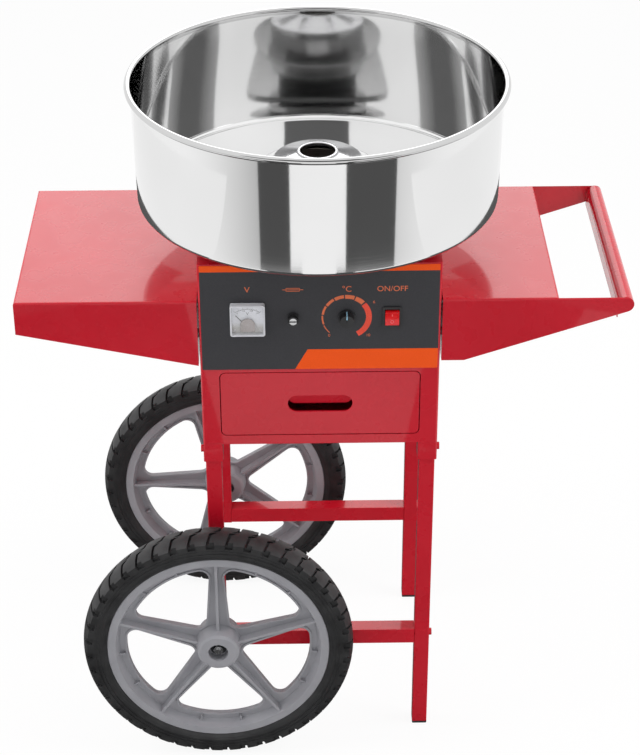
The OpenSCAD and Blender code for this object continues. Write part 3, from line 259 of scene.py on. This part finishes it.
def meter_card():
    """Pale card that turns greyer towards its foot."""
    card = Finish("meter_card", ior=1.45)
    brushed = card.noise(240.0, 4.0, where=card.mapped(scale=(1.0, 1.0, 14.0)))
    share = card.spread(brushed, 0.0, 1.0)
    foot = card.spread(card.xyz()[2], 1.0, 0.0, CONTROL_Z - 0.014, CONTROL_Z - 0.005)
    pale = card.mix(share, (0.74, 0.75, 0.81), (0.82, 0.83, 0.88))
    grey = card.mix(share, (0.47, 0.45, 0.43), (0.55, 0.53, 0.51))
    card.colour(card.mix(foot, pale, grey))
    card.gloss(0.30, 0.46, brushed)
    return card.material


def clear_window(name, tint):
    glass = Finish(name, ior=1.49, alpha=0.10)
    glass.tones(tint, (0.98, 0.98, 0.98), glass.noise(40.0, 2.0))
    glass.gloss(0.03, 0.08, glass.noise(120.0, 2.0))
    return glass.material


def red_lens():
    lens = Finish("red_lens", ior=1.5, coat_weight=0.3, coat_roughness=0.04)
    lens.tones((0.62, 0.004, 0.006), (0.78, 0.008, 0.011), lens.noise(90.0, 3.0))
    lens.gloss(0.16, 0.26, lens.noise(200.0, 2.0))
    return lens.material


def circuit_board():
    board = Finish("circuit_board", ior=1.5)
    tracks = {"Vector": board.place, "Scale": 90.0, "Mortar Size": 0.06, "Color1": (0.02, 0.13, 0.06, 1),
              "Color2": (0.025, 0.17, 0.08, 1), "Mortar": (0.05, 0.26, 0.12, 1)}
    board.colour(board.add("ShaderNodeTexBrick", tracks).outputs["Color"])
    board.gloss(0.30, 0.45, board.noise(120.0, 2.0))
    return board.material


def turned_metal(name, dark, light, low, high):
    metal = Finish(name, metallic=1.0)
    rings = metal.rings(1500.0)
    metal.tones(dark, light, rings)
    metal.gloss(low, high, rings)
    return metal.material


def tyre_rubber():
    rubber = Finish("tyre_rubber", ior=1.5)
    rubber.tones((0.015, 0.015, 0.016), (0.030, 0.030, 0.031), rubber.noise(45.0, 5.0))
    rubber.gloss(0.42, 0.62, rubber.noise(70.0, 4.0))
    rubber.relief(rubber.noise(1300.0, 2.0), 0.00006, 0.5)
    return rubber.material


def print_ink(name, dark, light):
    ink = Finish(name, ior=1.45)
    ink.tones(dark, light, ink.noise(700.0, 2.0))
    ink.gloss(0.38, 0.50, ink.noise(300.0, 2.0))
    return ink.material


finishes = {
    "red_paint": red_paint(),
    "zinc_sheet": zinc_sheet(),
    "panel_film": panel_film(),
    "polished_stainless": polished_stainless(),
    "spun_aluminium": spun_aluminium(),
    "bright_steel": bright_steel(),
    "black_plastic": moulded("black_plastic", (0.012, 0.012, 0.013), (0.024, 0.024, 0.026), 0.28, 0.42),
    "meter_body": meter_body(),
    "meter_card": meter_card(),
    "clear_window": clear_window("clear_window", (0.94, 0.96, 0.97)),
    "fuse_glass": clear_window("fuse_glass", (0.88, 0.90, 0.91)),
    "red_lens": red_lens(),
    "circuit_board": circuit_board(),
    "heater_alloy": turned_metal("heater_alloy", (0.32, 0.27, 0.24), (0.52, 0.46, 0.42), 0.30, 0.5),
    "copper_ring": turned_metal("copper_ring", (0.60, 0.32, 0.17), (0.78, 0.45, 0.26), 0.18, 0.34),
    "motor_enamel": moulded("motor_enamel", (0.035, 0.035, 0.04), (0.06, 0.06, 0.066), 0.3, 0.5, 500.0),
    "damper_rubber": moulded("damper_rubber", (0.018, 0.018, 0.018), (0.035, 0.035, 0.035), 0.55, 0.75),
    "grey_nylon": moulded("grey_nylon", (0.280, 0.280, 0.304), (0.324, 0.324, 0.348), 0.36, 0.5),
    "bush_nylon": moulded("bush_nylon", (0.74, 0.74, 0.70), (0.84, 0.84, 0.81), 0.3, 0.42),
    "tyre_rubber": tyre_rubber(),
    "smoked_plastic": moulded("smoked_plastic", (0.24, 0.20, 0.19), (0.36, 0.31, 0.30), 0.12, 0.22),
    "orange_ink": print_ink("orange_ink", (0.66, 0.135, 0.045), (0.74, 0.160, 0.060)),
    "hot_ink": print_ink("hot_ink", (0.76, 0.055, 0.025), (0.84, 0.075, 0.035)),
    "black_ink": print_ink("black_ink", (0.015, 0.015, 0.018), (0.03, 0.03, 0.034)),
    "rose_ink": print_ink("rose_ink", (0.80, 0.14, 0.15), (0.90, 0.17, 0.18)),
    "blue_ink": print_ink("blue_ink", (0.26, 0.50, 0.66), (0.34, 0.60, 0.76)),
}

for node, solid in nodes.items():
    for holder, slot in zip(solid.material_slots, slots_of[node]):
        holder.material = finishes[slot]


# Ways of making pieces

def piece(name, bm, finish, body, crease=30.0, weighted=True):
    """Turns a bmesh into a finished piece that rides on a body."""
    for face in bm.faces:
        face.smooth = True
    mesh = bpy.data.meshes.new(name)
    bm.to_mesh(mesh)
    bm.free()
    mesh.set_sharp_from_angle(angle=math.radians(crease))
    mesh.materials.append(finishes[finish])
    made = bpy.data.objects.new(name, mesh)
    bpy.context.scene.collection.objects.link(made)
    if weighted:
        normals = made.modifiers.new("even_shading", "WEIGHTED_NORMAL")
        normals.keep_sharp = True
    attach(made, body)
    return made


def rounded(bm, edges, width, segments, clamped=False):
    """Rounds edges off, with narrower roundings where they would meet if clamped."""
    return bmesh.ops.bevel(bm, geom=edges, offset=width, offset_type="OFFSET", affect="EDGES",
                           segments=segments, profile=0.5, material=-1, clamp_overlap=clamped)


def turned(bm, outline, steps=192):
    """A closed outline of (radius, height, rounding) turned about the bowl's axis, its corners rounded."""
    new = [bm.verts.new((BOWL_X + r, 0.0, z)) for r, z, _ in outline]
    loop = [bm.edges.new((a, b)) for a, b in zip(new, new[1:] + new[:1])]
    bmesh.ops.spin(bm, geom=new + loop, cent=(BOWL_X, 0, 0), axis=(0, 0, 1), angle=math.tau, steps=steps,
                   use_merge=True)
    bmesh.ops.remove_doubles(bm, verts=bm.verts, dist=1e-6)
    bmesh.ops.recalc_face_normals(bm, faces=bm.faces)
    for r, z, rounding in outline:
        if rounding:
            ring = [e for e in bm.edges if all(abs(math.hypot(v.co.x - BOWL_X, v.co.y) - r) < 1e-6
                                               and abs(v.co.z - z) < 1e-6 for v in e.verts)]
            rounded(bm, ring, rounding, 4)


def eased(node, width, crease=30.0):
    """A copy of a solid with its sharp edges eased, as folding, moulding and painting leave them."""
    bm = bmesh.new()
    bm.from_mesh(nodes[node].data)
    bmesh.ops.remove_doubles(bm, verts=bm.verts, dist=1e-6)
    bmesh.ops.dissolve_limit(bm, angle_limit=math.radians(0.4), use_dissolve_boundaries=False,
                             verts=bm.verts, edges=bm.edges)
    sharp = [e for e in bm.edges if e.is_manifold and e.calc_face_angle(0.0) > math.radians(crease)]
    rounded(bm, sharp, width, 2, clamped=True)
    slot = slots_of[node][0]
    made = piece(node + "_eased", bm, slot, body_of[node], crease=50.0)
    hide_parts(node)


def connected(faces):
    """All faces joined to the given ones."""
    found, queue = set(faces), list(faces)
    while queue:
        for edge in queue.pop().edges:
            for face in edge.link_faces:
                if face not in found:
                    found.add(face)
                    queue.append(face)
    return list(found)


def thickened(bm, faces, depth):
    """Gives flat faces a thickness along the cart's depth."""
    raised = bmesh.ops.extrude_face_region(bm, geom=faces)
    tops = [v for v in raised["geom"] if isinstance(v, bmesh.types.BMVert)]
    bmesh.ops.translate(bm, verts=tops, vec=(0, depth, 0))


def arc_band(bm, x, z, y, inner, outer, start, sweep, depth=PRINT):
    """A flat band round a centre on a face that looks forwards, drawn clockwise from an angle in degrees."""
    turn = Matrix.Rotation(math.radians(-start), 3, "Y")
    ends = [bm.verts.new(Vector((x, y, z)) + turn @ Vector((r, 0, 0))) for r in (inner, outer)]
    side = bm.edges.new(ends)
    steps = max(2, int(abs(sweep) / 4))
    made = bmesh.ops.spin(bm, geom=ends + [side], cent=(x, y, z), axis=(0, 1, 0),
                          angle=math.radians(sweep), steps=steps)
    last = [v for v in made["geom_last"] if isinstance(v, bmesh.types.BMVert)]
    faces = list({face for v in last for face in v.link_faces})
    thickened(bm, connected(faces), -depth)


def filled_arc(bm, x, z, y, radius, start, sweep, depth, foot=None):
    """A flat plate under an arc on a face that looks forwards, with straight sides down to a foot if given."""
    lean = math.radians(start)
    first = bm.verts.new((x + radius * math.cos(lean), y, z + radius * math.sin(lean)))
    known = set(bm.edges)
    swept = bmesh.ops.spin(bm, geom=[first], cent=(x, y, z), axis=(0, -1, 0), angle=math.radians(sweep),
                           steps=36, use_merge=sweep == 360.0)
    if sweep < 360.0:
        ends = [first, next(v for v in swept["geom_last"] if isinstance(v, bmesh.types.BMVert))]
        if foot is not None:
            feet = [bm.verts.new((v.co.x, y, foot)) for v in ends]
            for end, low in zip(ends, feet):
                bm.edges.new((end, low))
            ends = feet
        bm.edges.new(ends)
    outline = [e for e in bm.edges if e not in known]
    thickened(bm, bmesh.ops.contextual_create(bm, geom=outline)["faces"], depth)
    bmesh.ops.recalc_face_normals(bm, faces=bm.faces)


def bar(bm, low, high, turn=0.0, centre=(0, 0, 0), round_by=0.0):
    """A bar between two corners, turned in degrees about a centre on a face that looks forwards."""
    low, high = Vector(low), Vector(high)
    scale = Matrix.Diagonal((*(high - low), 1.0))
    made = bmesh.ops.create_cube(bm, size=1.0, matrix=Matrix.Translation((low + high) / 2) @ scale)
    if round_by:
        edges = list({e for v in made["verts"] for e in v.link_edges})
        made = rounded(bm, edges, round_by, 3)
    if turn:
        bmesh.ops.rotate(bm, verts=made["verts"], cent=centre,
                         matrix=Matrix.Rotation(math.radians(turn), 3, "Y"))


def lettering(bm, words, height, x, z, y):
    """Flat characters of a capital's height on a face that looks forwards, centred on a point."""
    capital_share = 0.70
    curve = bpy.data.curves.new("characters", "FONT")
    curve.body = words
    curve.size = height / capital_share
    curve.align_x = "CENTER"
    curve.align_y = "CENTER"
    curve.extrude = PRINT / 2
    curve.resolution_u = 4
    holder = bpy.data.objects.new("characters", curve)
    bpy.context.scene.collection.objects.link(holder)
    flat = holder.to_mesh()
    first = len(bm.verts)
    bm.from_mesh(flat)
    bm.verts.ensure_lookup_table()
    upright = Matrix.Translation((x, y - PRINT / 2, z)) @ Matrix.Rotation(math.pi / 2, 4, "X")
    bmesh.ops.transform(bm, matrix=upright, verts=bm.verts[first:])
    holder.to_mesh_clear()
    bpy.data.objects.remove(holder)
    bpy.data.curves.remove(curve)


# Bowl and spinning head

def make_bowl():
    bead_r, bead_ring_r, steps = 0.0045, 0.25545, 256
    inner_floor_z = BOWL_FLOOR_Z + BOWL_GAUGE
    bm = bmesh.new()
    turned(bm, [
        (BOWL_HOLE_R, BOWL_FLOOR_Z, 0.0004), (BOWL_BASE_R, BOWL_FLOOR_Z, 0.007), (BOWL_TOP_R, BEAD_Z, 0.0),
        (BOWL_TOP_R - BOWL_GAUGE, BEAD_Z, 0.0), (BOWL_BASE_R - BOWL_GAUGE, inner_floor_z, 0.0058),
        (BOWL_HOLE_R, inner_floor_z, 0.0004),
    ], steps=steps)
    upright = Matrix.Translation((BOWL_X + bead_ring_r, 0, BEAD_Z)) @ Matrix.Rotation(math.pi / 2, 4, "X")
    hoop = bmesh.ops.create_circle(bm, segments=20, radius=bead_r, matrix=upright)["verts"]
    edges = list({e for v in hoop for e in v.link_edges})
    bmesh.ops.spin(bm, geom=hoop + edges, cent=(BOWL_X, 0, 0), axis=(0, 0, 1), angle=math.tau, steps=steps,
                   use_merge=True)
    bmesh.ops.remove_doubles(bm, verts=bm.verts, dist=1e-6)
    bmesh.ops.recalc_face_normals(bm, faces=bm.faces)
    made = piece("bowl_shell", bm, "polished_stainless", "cart", crease=60.0)
    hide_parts("bowl")


def make_head():
    """Pan with its turned-up saucer, and the drum with its cone and sugar hole on top of it."""
    spindle_r, drum_r, root_r, brim_r = 0.005, 0.062, 0.068, 0.085
    bm = bmesh.new()
    turned(bm, [
        (spindle_r, 0.837, 0.0), (drum_r, 0.837, 0.0015), (drum_r, 0.849, 0.0012), (root_r, 0.849, 0.001),
        (brim_r, 0.852, 0.0009), (brim_r, 0.854, 0.0009), (root_r, 0.851, 0.001), (0.060, 0.851, 0.0),
        (0.060, 0.839, 0.0), (spindle_r, 0.839, 0.0),
    ])
    pan = piece("head_pan", bm, "spun_aluminium", "spinning_head", crease=50.0)
    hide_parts("head_base")
    cover_r, mouth_r, hole_r, mouth_z = 0.0605, 0.028, 0.024, 0.8835
    bm = bmesh.new()
    turned(bm, [
        (cover_r, 0.8512, 0.0), (drum_r, 0.8512, 0.0003), (drum_r, CONE_FOOT_Z, 0.0022),
        (mouth_r, 0.8805, 0.0012), (mouth_r, mouth_z, 0.0012), (hole_r, mouth_z, 0.0012), (hole_r, 0.879, 0.0),
        (cover_r, 0.8695, 0.0),
    ])
    cap = piece("head_cap", bm, "spun_aluminium", "spinning_head", crease=50.0)
    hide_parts("head_cover")


make_bowl()
make_head()

# Sheet metal, tubes and mouldings with eased edges: width of the easing
EASED = {
    "cabinet_shell": 0.0003, "back_cover": 0.0003, "top_deck": 0.0004, "base_plate": 0.0004,
    "left_tray": 0.0004, "right_tray": 0.0004, "drawer_front": 0.0005, "leg_sockets": 0.0004,
    "front_left_leg": 0.0004, "rear_left_leg": 0.0004, "front_right_leg": 0.0004, "rear_right_leg": 0.0004,
    "front_stretcher": 0.0007, "rear_stretcher": 0.0007, "voltmeter_case": 0.0006, "switch_housing": 0.0005,
    "rocker": 0.0006, "foot_caps": 0.0006, "axle_nuts": 0.0006, "axle_washers": 0.0004, "fuse_holder": 0.0004,
    "temperature_knob": 0.0003, "fuse_cap": 0.0003, "tray_screws": 0.0003,
}
for node, width in EASED.items():
    eased(node, width)


def make_hand_apron():
    """Strip of sheet between the cheeks, hanging from the hand bar's inner side."""
    inner_x, outer_x, reach, low_z, high_z = 0.3936, 0.3951, 0.1684, 0.7110, 0.7310
    bm = bmesh.new()
    bar(bm, (inner_x, -reach, low_z), (outer_x, reach, high_z), round_by=0.0003)
    piece("hand_apron", bm, "red_paint", "cart", crease=40.0)


make_hand_apron()


# Prints and marks on the control panel

def make_labels():
    """Signs over the controls, the one over the fuse drawn as a box on a line, and numbers round the knob."""
    bm = bmesh.new()
    lettering(bm, "V", 0.0085, METER_X, LABEL_Z, PANEL_Y)
    lettering(bm, "ON/OFF", 0.0080, SWITCH_X, LABEL_Z, PANEL_Y)
    long, tall, wire, line = 0.009, 0.0022, 0.014, 0.0004
    front = PANEL_Y - PRINT
    for z in (LABEL_Z - tall, LABEL_Z + tall):
        bar(bm, (FUSE_X - long, front, z - line), (FUSE_X + long, PANEL_Y, z + line))
    for x in (FUSE_X - long, FUSE_X + long):
        bar(bm, (x - line, front, LABEL_Z - tall), (x + line, PANEL_Y, LABEL_Z + tall))
    bar(bm, (FUSE_X - wire, front, LABEL_Z - line), (FUSE_X + wire, PANEL_Y, LABEL_Z + line))
    lettering(bm, "°C", 0.0085, KNOB_X, LABEL_Z, PANEL_Y)
    for words, x, z in (("0", -0.0235, -0.0285), ("6", 0.0365, 0.0225), ("10", 0.0290, -0.0285)):
        lettering(bm, words, 0.0042, KNOB_X + x, CONTROL_Z + z, PANEL_Y)
    piece("panel_marks", bm, "orange_ink", "cart", weighted=False)


def make_heat_scale():
    """Ring of marks round the knob that widen clockwise, ending in one broad hot band."""
    outer, steps, start, pitch, gap = 0.0338, 7, 226.0, 26.4, 3.0
    thin, growth, broad, hot_start, hot_sweep = 0.0012, 0.0009, 0.0078, 40.0, 101.0
    bm = bmesh.new()
    for i in range(steps):
        inner = outer - (thin + growth * i)
        arc_band(bm, KNOB_X, CONTROL_Z, PANEL_Y, inner, outer, start - pitch * i, pitch - gap)
    piece("heat_marks", bm, "orange_ink", "cart", weighted=False)
    bm = bmesh.new()
    arc_band(bm, KNOB_X, CONTROL_Z, PANEL_Y, outer - broad, outer, hot_start, hot_sweep)
    piece("heat_band", bm, "hot_ink", "cart", weighted=False)


def make_meter_scale():
    """Scale, numbers and unit on the card."""
    x, z, y = METER_X, METER_PIVOT_Z, CARD_Y
    arc_r, arc_half, reach, steps = 0.0270, 0.0002, 37.0, 30
    number_r, unit_rise = 0.0248, 0.0200
    bm = bmesh.new()
    arc_band(bm, x, z, y, arc_r - arc_half, arc_r + arc_half, 90.0 + reach, 2 * reach)
    for i in range(steps + 1):
        angle = reach * (2 * i / steps - 1)
        length = 0.0034 if i % 10 == 0 else 0.0024 if i % 5 == 0 else 0.0014
        half = 0.0002 if i % 5 == 0 else 0.00012
        bar(bm, (x - half, y - PRINT, z + arc_r), (x + half, y, z + arc_r + length), angle, (x, y, z))
    for number, angle in (("0", -34.0), ("100", -12.0), ("200", 12.0), ("300", 33.0)):
        lean = math.radians(angle)
        lettering(bm, number, 0.0020, x + number_r * math.sin(lean), z + number_r * math.cos(lean), y)
    lettering(bm, "V", 0.0042, x, z + unit_rise, y)
    piece("meter_marks", bm, "black_ink", "cart", weighted=False)


def make_needle_cover():
    """Smoked cover over the needle's foot, round at the top."""
    half, low, middle = 0.0100, 0.6990, 0.7090
    front, back = CARD_Y - 0.0040, CARD_Y - 0.0025
    bm = bmesh.new()
    filled_arc(bm, METER_X, middle, back, half, 0.0, 180.0, front - back, foot=low)
    rim = [e for e in bm.edges if e.calc_face_angle(0.0) > 1.0
           and all(abs(v.co.y - front) < 1e-7 for v in e.verts)]
    rounded(bm, rim, 0.0006, 3)
    piece("needle_cover", bm, "smoked_plastic", "cart", crease=40.0)


def make_meter_screws():
    """A screw in each lower corner of the card."""
    aside, drop, radius, height = 0.0172, 0.0175, 0.0016, 0.0012
    bm = bmesh.new()
    for side in (-1, 1):
        filled_arc(bm, METER_X + side * aside, CONTROL_Z - drop, CARD_Y, radius, 0.0, 360.0, -height)
    piece("meter_screws", bm, "bright_steel", "cart", crease=40.0)


def make_fuse_face():
    """Polished end of the fuse carrier, parted by its screwdriver slot."""
    radius, slot_angle, height = 0.0050, 11.0, 0.0004
    bm = bmesh.new()
    for start in (slot_angle, 180.0 + slot_angle):
        filled_arc(bm, FUSE_X, CONTROL_Z, FUSE_FACE_Y, radius, start, 180.0 - 2 * slot_angle, -height)
    piece("fuse_face", bm, "bright_steel", "fuse_carrier", crease=40.0)


def make_rocker_marks():
    """A bar on the rocker's upper face and a ring on its lower face."""
    face_lean, face_rise, rest_lean = 10.4, 0.0054, 8.0
    sunk_y = 0.0001 - ROCKER_REACH
    middle = Vector((SWITCH_X, ROCKER_Y, CONTROL_Z))
    bm = bmesh.new()
    for way in (1, -1):
        first = len(bm.verts)
        if way > 0:
            bar(bm, middle + Vector((-0.0005, -ROCKER_REACH - PRINT, 0.0032)),
                middle + Vector((0.0005, sunk_y, 0.0076)))
        else:
            arc_band(bm, middle.x, middle.z - face_rise, middle.y + sunk_y, 0.0016, 0.0024, 90.0, 360.0,
                     depth=0.0001 + PRINT)
        bm.verts.ensure_lookup_table()
        at_face = middle + Vector((0, -ROCKER_REACH, way * face_rise))
        bmesh.ops.rotate(bm, verts=bm.verts[first:], cent=at_face,
                         matrix=Matrix.Rotation(math.radians(way * face_lean), 3, "X"))
    bmesh.ops.rotate(bm, verts=bm.verts, cent=middle, matrix=Matrix.Rotation(math.radians(rest_lean), 3, "X"))
    bmesh.ops.remove_doubles(bm, verts=bm.verts, dist=1e-6)
    bmesh.ops.recalc_face_normals(bm, faces=bm.faces)
    piece("rocker_marks", bm, "rose_ink", "rocker_lever", weighted=False)


def make_knob_pointer():
    """Pale blue line down the knob's side and on to its face."""
    left, right = KNOB_X - 0.00075, KNOB_X + 0.00075
    proud_y, round_by = KNOB_FACE_Y - 0.0001, 0.0001
    bm = bmesh.new()
    bar(bm, (left, proud_y, CONTROL_Z + 0.0035), (right, KNOB_FACE_Y + 0.0006, CONTROL_Z + 0.0097),
        round_by=round_by)
    bar(bm, (left, proud_y, CONTROL_Z + 0.0088), (right, KNOB_SKIRT_Y, CONTROL_Z + 0.0101), round_by=round_by)
    piece("knob_pointer", bm, "blue_ink", "knob", crease=40.0)


make_labels()
make_heat_scale()
make_meter_scale()
make_needle_cover()
make_meter_screws()
make_fuse_face()
make_rocker_marks()
make_knob_pointer()


# Studio

def make_camera():
    """Camera fitted to the photo, with its focal length in pixels of the picture's long side."""
    place, focal, long_side, sensor = (-0.0385, -2.56813, 2.0930), 2058.849, 755.0, 36.0
    yaw, tilt, roll = math.radians(0.7737), math.radians(31.5293), math.radians(-0.1921)
    ahead = Vector((math.sin(yaw) * math.cos(tilt), math.cos(yaw) * math.cos(tilt), -math.sin(tilt)))
    right = Vector((math.cos(yaw), -math.sin(yaw), 0.0))
    up = right.cross(ahead)
    level = right * math.cos(roll) + up * math.sin(roll)
    rise = up * math.cos(roll) - right * math.sin(roll)
    data = bpy.data.cameras.new("camera")
    data.sensor_width = sensor
    data.lens = focal * sensor / long_side
    data.clip_end = 50.0
    camera = bpy.data.objects.new("camera", data)
    bpy.context.scene.collection.objects.link(camera)
    turn = Matrix((level, rise, -ahead)).transposed().to_4x4()
    camera.matrix_world = Matrix.Translation(place) @ turn
    bpy.context.scene.camera = camera


def make_lamp(name, place, target, size, power, mirrored=False):
    data = bpy.data.lights.new(name, "AREA")
    data.size = size
    data.energy = power
    lamp = bpy.data.objects.new(name, data)
    bpy.context.scene.collection.objects.link(lamp)
    turn = (Vector(target) - Vector(place)).to_track_quat("-Z", "Y").to_matrix().to_4x4()
    lamp.matrix_world = Matrix.Translation(place) @ turn
    lamp.visible_camera = False
    lamp.visible_glossy = mirrored


def seen_share(tree):
    """Value of 1 for what the camera, mirrors and glass see, and 0 for what only lights the cart."""
    path = tree.nodes.new("ShaderNodeLightPath")
    total = path.outputs["Is Camera Ray"]
    for ray in ("Is Glossy Ray", "Is Transmission Ray"):
        larger = tree.nodes.new("ShaderNodeMath")
        larger.operation = "MAXIMUM"
        tree.links.new(total, larger.inputs[0])
        tree.links.new(path.outputs[ray], larger.inputs[1])
        total = larger.outputs[0]
    return total


def mixed(tree, share, first, second, output):
    """Two shaders mixed by a share, as the tree's result."""
    both = tree.nodes.new("ShaderNodeMixShader")
    tree.links.new(share, both.inputs[0])
    tree.links.new(first.outputs[0], both.inputs[1])
    tree.links.new(second.outputs[0], both.inputs[2])
    tree.links.new(both.outputs[0], tree.nodes[output].inputs["Surface"])


def make_world():
    """White room that lights the cart softly."""
    world = bpy.data.worlds.new("studio")
    bpy.context.scene.world = world
    world.use_nodes = True
    tree = world.node_tree
    lit = tree.nodes["Background"]
    lit.inputs["Color"].default_value = (1, 1, 1, 1)
    lit.inputs["Strength"].default_value = 0.54
    seen = tree.nodes.new("ShaderNodeBackground")
    seen.inputs["Color"].default_value = (1, 1, 1, 1)
    seen.inputs["Strength"].default_value = 1.0
    mixed(tree, seen_share(tree), lit, seen, "World Output")


def stage_object(name, bm, material):
    """Links a bmesh as a piece of the studio."""
    mesh = bpy.data.meshes.new(name)
    bm.to_mesh(mesh)
    bm.free()
    mesh.materials.append(material)
    made = bpy.data.objects.new(name, mesh)
    bpy.context.scene.collection.objects.link(made)
    return made


def make_floor():
    """Pale floor, white to the camera apart from the cart's soft shadow."""
    material = bpy.data.materials.new("floor_white")
    material.use_nodes = True
    tree = material.node_tree
    plain = tree.nodes["Principled BSDF"]
    plain.inputs["Base Color"].default_value = (0.80, 0.80, 0.80, 1)
    plain.inputs["Roughness"].default_value = 0.9
    plain.inputs["Specular IOR Level"].default_value = 0.0
    glow = tree.nodes.new("ShaderNodeEmission")
    glow.inputs["Strength"].default_value = 1.0
    share = tree.nodes.new("ShaderNodeMath")
    share.operation = "MULTIPLY"
    share.inputs[1].default_value = 0.92
    tree.links.new(seen_share(tree), share.inputs[0])
    mixed(tree, share.outputs[0], plain, glow, "Material Output")
    bm = bmesh.new()
    bmesh.ops.create_grid(bm, x_segments=1, y_segments=1, size=8.0)
    stage_object("floor", bm, material)


def make_screen(name, first, last, near, far, tone, end_tone=None, from_above=False):
    """Screen that only mirrors see: a line between two (radius, height) points, swept about the bowl's axis
    between two angles from straight ahead, its tone running from one angle to the other."""
    start, end = math.radians(first), math.radians(last)
    material = bpy.data.materials.new(name)
    material.use_nodes = True
    tree = material.node_tree
    tree.nodes.remove(tree.nodes["Principled BSDF"])
    glow = tree.nodes.new("ShaderNodeEmission")
    glow.inputs["Strength"].default_value = tone
    if end_tone is not None:
        place = tree.nodes.new("ShaderNodeTexCoord")
        parts = tree.nodes.new("ShaderNodeSeparateXYZ")
        tree.links.new(place.outputs["Object"], parts.inputs[0])
        ramp = tree.nodes.new("ShaderNodeMapRange")
        tree.links.new(parts.outputs[0], ramp.inputs["Value"])
        ramp.inputs["From Min"].default_value = BOWL_X + near[0] * math.sin(start)
        ramp.inputs["From Max"].default_value = BOWL_X + near[0] * math.sin(end)
        ramp.inputs["To Min"].default_value = tone
        ramp.inputs["To Max"].default_value = end_tone
        tree.links.new(ramp.outputs[0], glow.inputs["Strength"])
    if from_above:
        side = tree.nodes.new("ShaderNodeNewGeometry").outputs["Backfacing"]
        mixed(tree, side, glow, tree.nodes.new("ShaderNodeBsdfTransparent"), "Material Output")
    else:
        tree.links.new(glow.outputs[0], tree.nodes["Material Output"].inputs["Surface"])
    bm = bmesh.new()
    ends = [bm.verts.new((BOWL_X + r * math.sin(start), -r * math.cos(start), z)) for r, z in (near, far)]
    edge = bm.edges.new(ends)
    bmesh.ops.spin(bm, geom=ends + [edge], cent=(BOWL_X, 0, 0), axis=(0, 0, 1), angle=end - start, steps=24)
    bm.normal_update()
    if from_above:
        bmesh.ops.reverse_faces(bm, faces=[f for f in bm.faces if f.normal.z < 0])
    screen = stage_object(name, bm, material)
    screen.visible_camera = False
    screen.visible_diffuse = False
    screen.visible_shadow = False
    screen.visible_transmission = False


make_camera()
make_lamp("key_lamp", (-0.6, -1.0, 3.4), (0.0, 0.0, 0.5), 2.6, 5.0)
make_lamp("left_lamp", (-2.1, -0.3, 2.1), (-0.2, 0.0, 0.74), 1.4, 46.0)
make_lamp("right_lamp", (2.1, -0.3, 2.1), (0.2, 0.0, 0.74), 1.4, 46.0)
make_lamp("fill_lamp", (0.0, -3.0, 1.0), (0.0, 0.0, 0.4), 2.0, 8.0)
make_lamp("back_lamp", (0.0, 3.2, 2.7), (0.0, 0.0, 0.75), 2.2, 24.0, mirrored=True)
make_world()
make_floor()

# Painted reflections: glowing screens that only mirrors see stand for dark and bright parts of the room that
# the bowl, head and paint mirror. Flags stand low in front with lighter skirts, hoods and a lid high in front,
# mats on the floor, and shades stand at the sides; veils and sheets lie over the trays and paint over the
# trays' own red reflection in the bowl
FLAG_R, ROOM_R, NEAR_R, BRIM_R = 1.55, 1.60, 0.95, 0.335
SKIRT_Z, FLAG_Z, HOOD_Z, LID_Z, OVER_TRAY_Z, MAT_Z, SHADE_Z = 0.04, 0.60, 1.34, 2.15, 0.757, 0.002, 0.75
for side, way, first, last in (("left", -1, 16.5, 34.5), ("right", 1, 15.2, 44.7)):
    make_screen("flag_" + side, way * first, way * last, (FLAG_R, SKIRT_Z), (FLAG_R, FLAG_Z), 0.08)
    make_screen("skirt_" + side, way * first, way * last, (FLAG_R, 0.0), (FLAG_R, SKIRT_Z), 0.30)
    make_screen("hood_" + side, way * 16.0, way * 42.0, (ROOM_R, HOOD_Z), (ROOM_R, LID_Z), 0.13, 0.40)
    make_screen("veil_" + side, way * 46.0, way * 130.0, (0.262, OVER_TRAY_Z), (BRIM_R, OVER_TRAY_Z), 0.10,
                from_above=True)
    make_screen("sheet_" + side, way * 46.0, way * 130.0, (BRIM_R, OVER_TRAY_Z), (0.600, OVER_TRAY_Z), 0.95,
                from_above=True)
make_screen("hood", -16.0, 16.0, (ROOM_R, HOOD_Z), (ROOM_R, LID_Z), 0.13)
make_screen("lid", -25.0, 25.0, (ROOM_R, LID_Z), (ROOM_R, 2.90), 0.12)
make_screen("mat_left", -10.0, -32.0, (NEAR_R, MAT_Z), (ROOM_R, MAT_Z), 0.06)
make_screen("mat_right", 10.0, 21.3, (NEAR_R, MAT_Z), (ROOM_R, MAT_Z), 0.06)
make_screen("mat_near", 0.0, 360.0, (0.02, MAT_Z), (NEAR_R, MAT_Z), 0.08)
make_screen("shade_left", -34.5, -88.0, (ROOM_R, 0.0), (ROOM_R, SHADE_Z), 0.54, 1.0)
make_screen("shade_right", 44.7, 88.0, (ROOM_R, 0.0), (ROOM_R, SHADE_Z), 0.72, 1.0)

bpy.context.scene.view_settings.view_transform = "Standard"
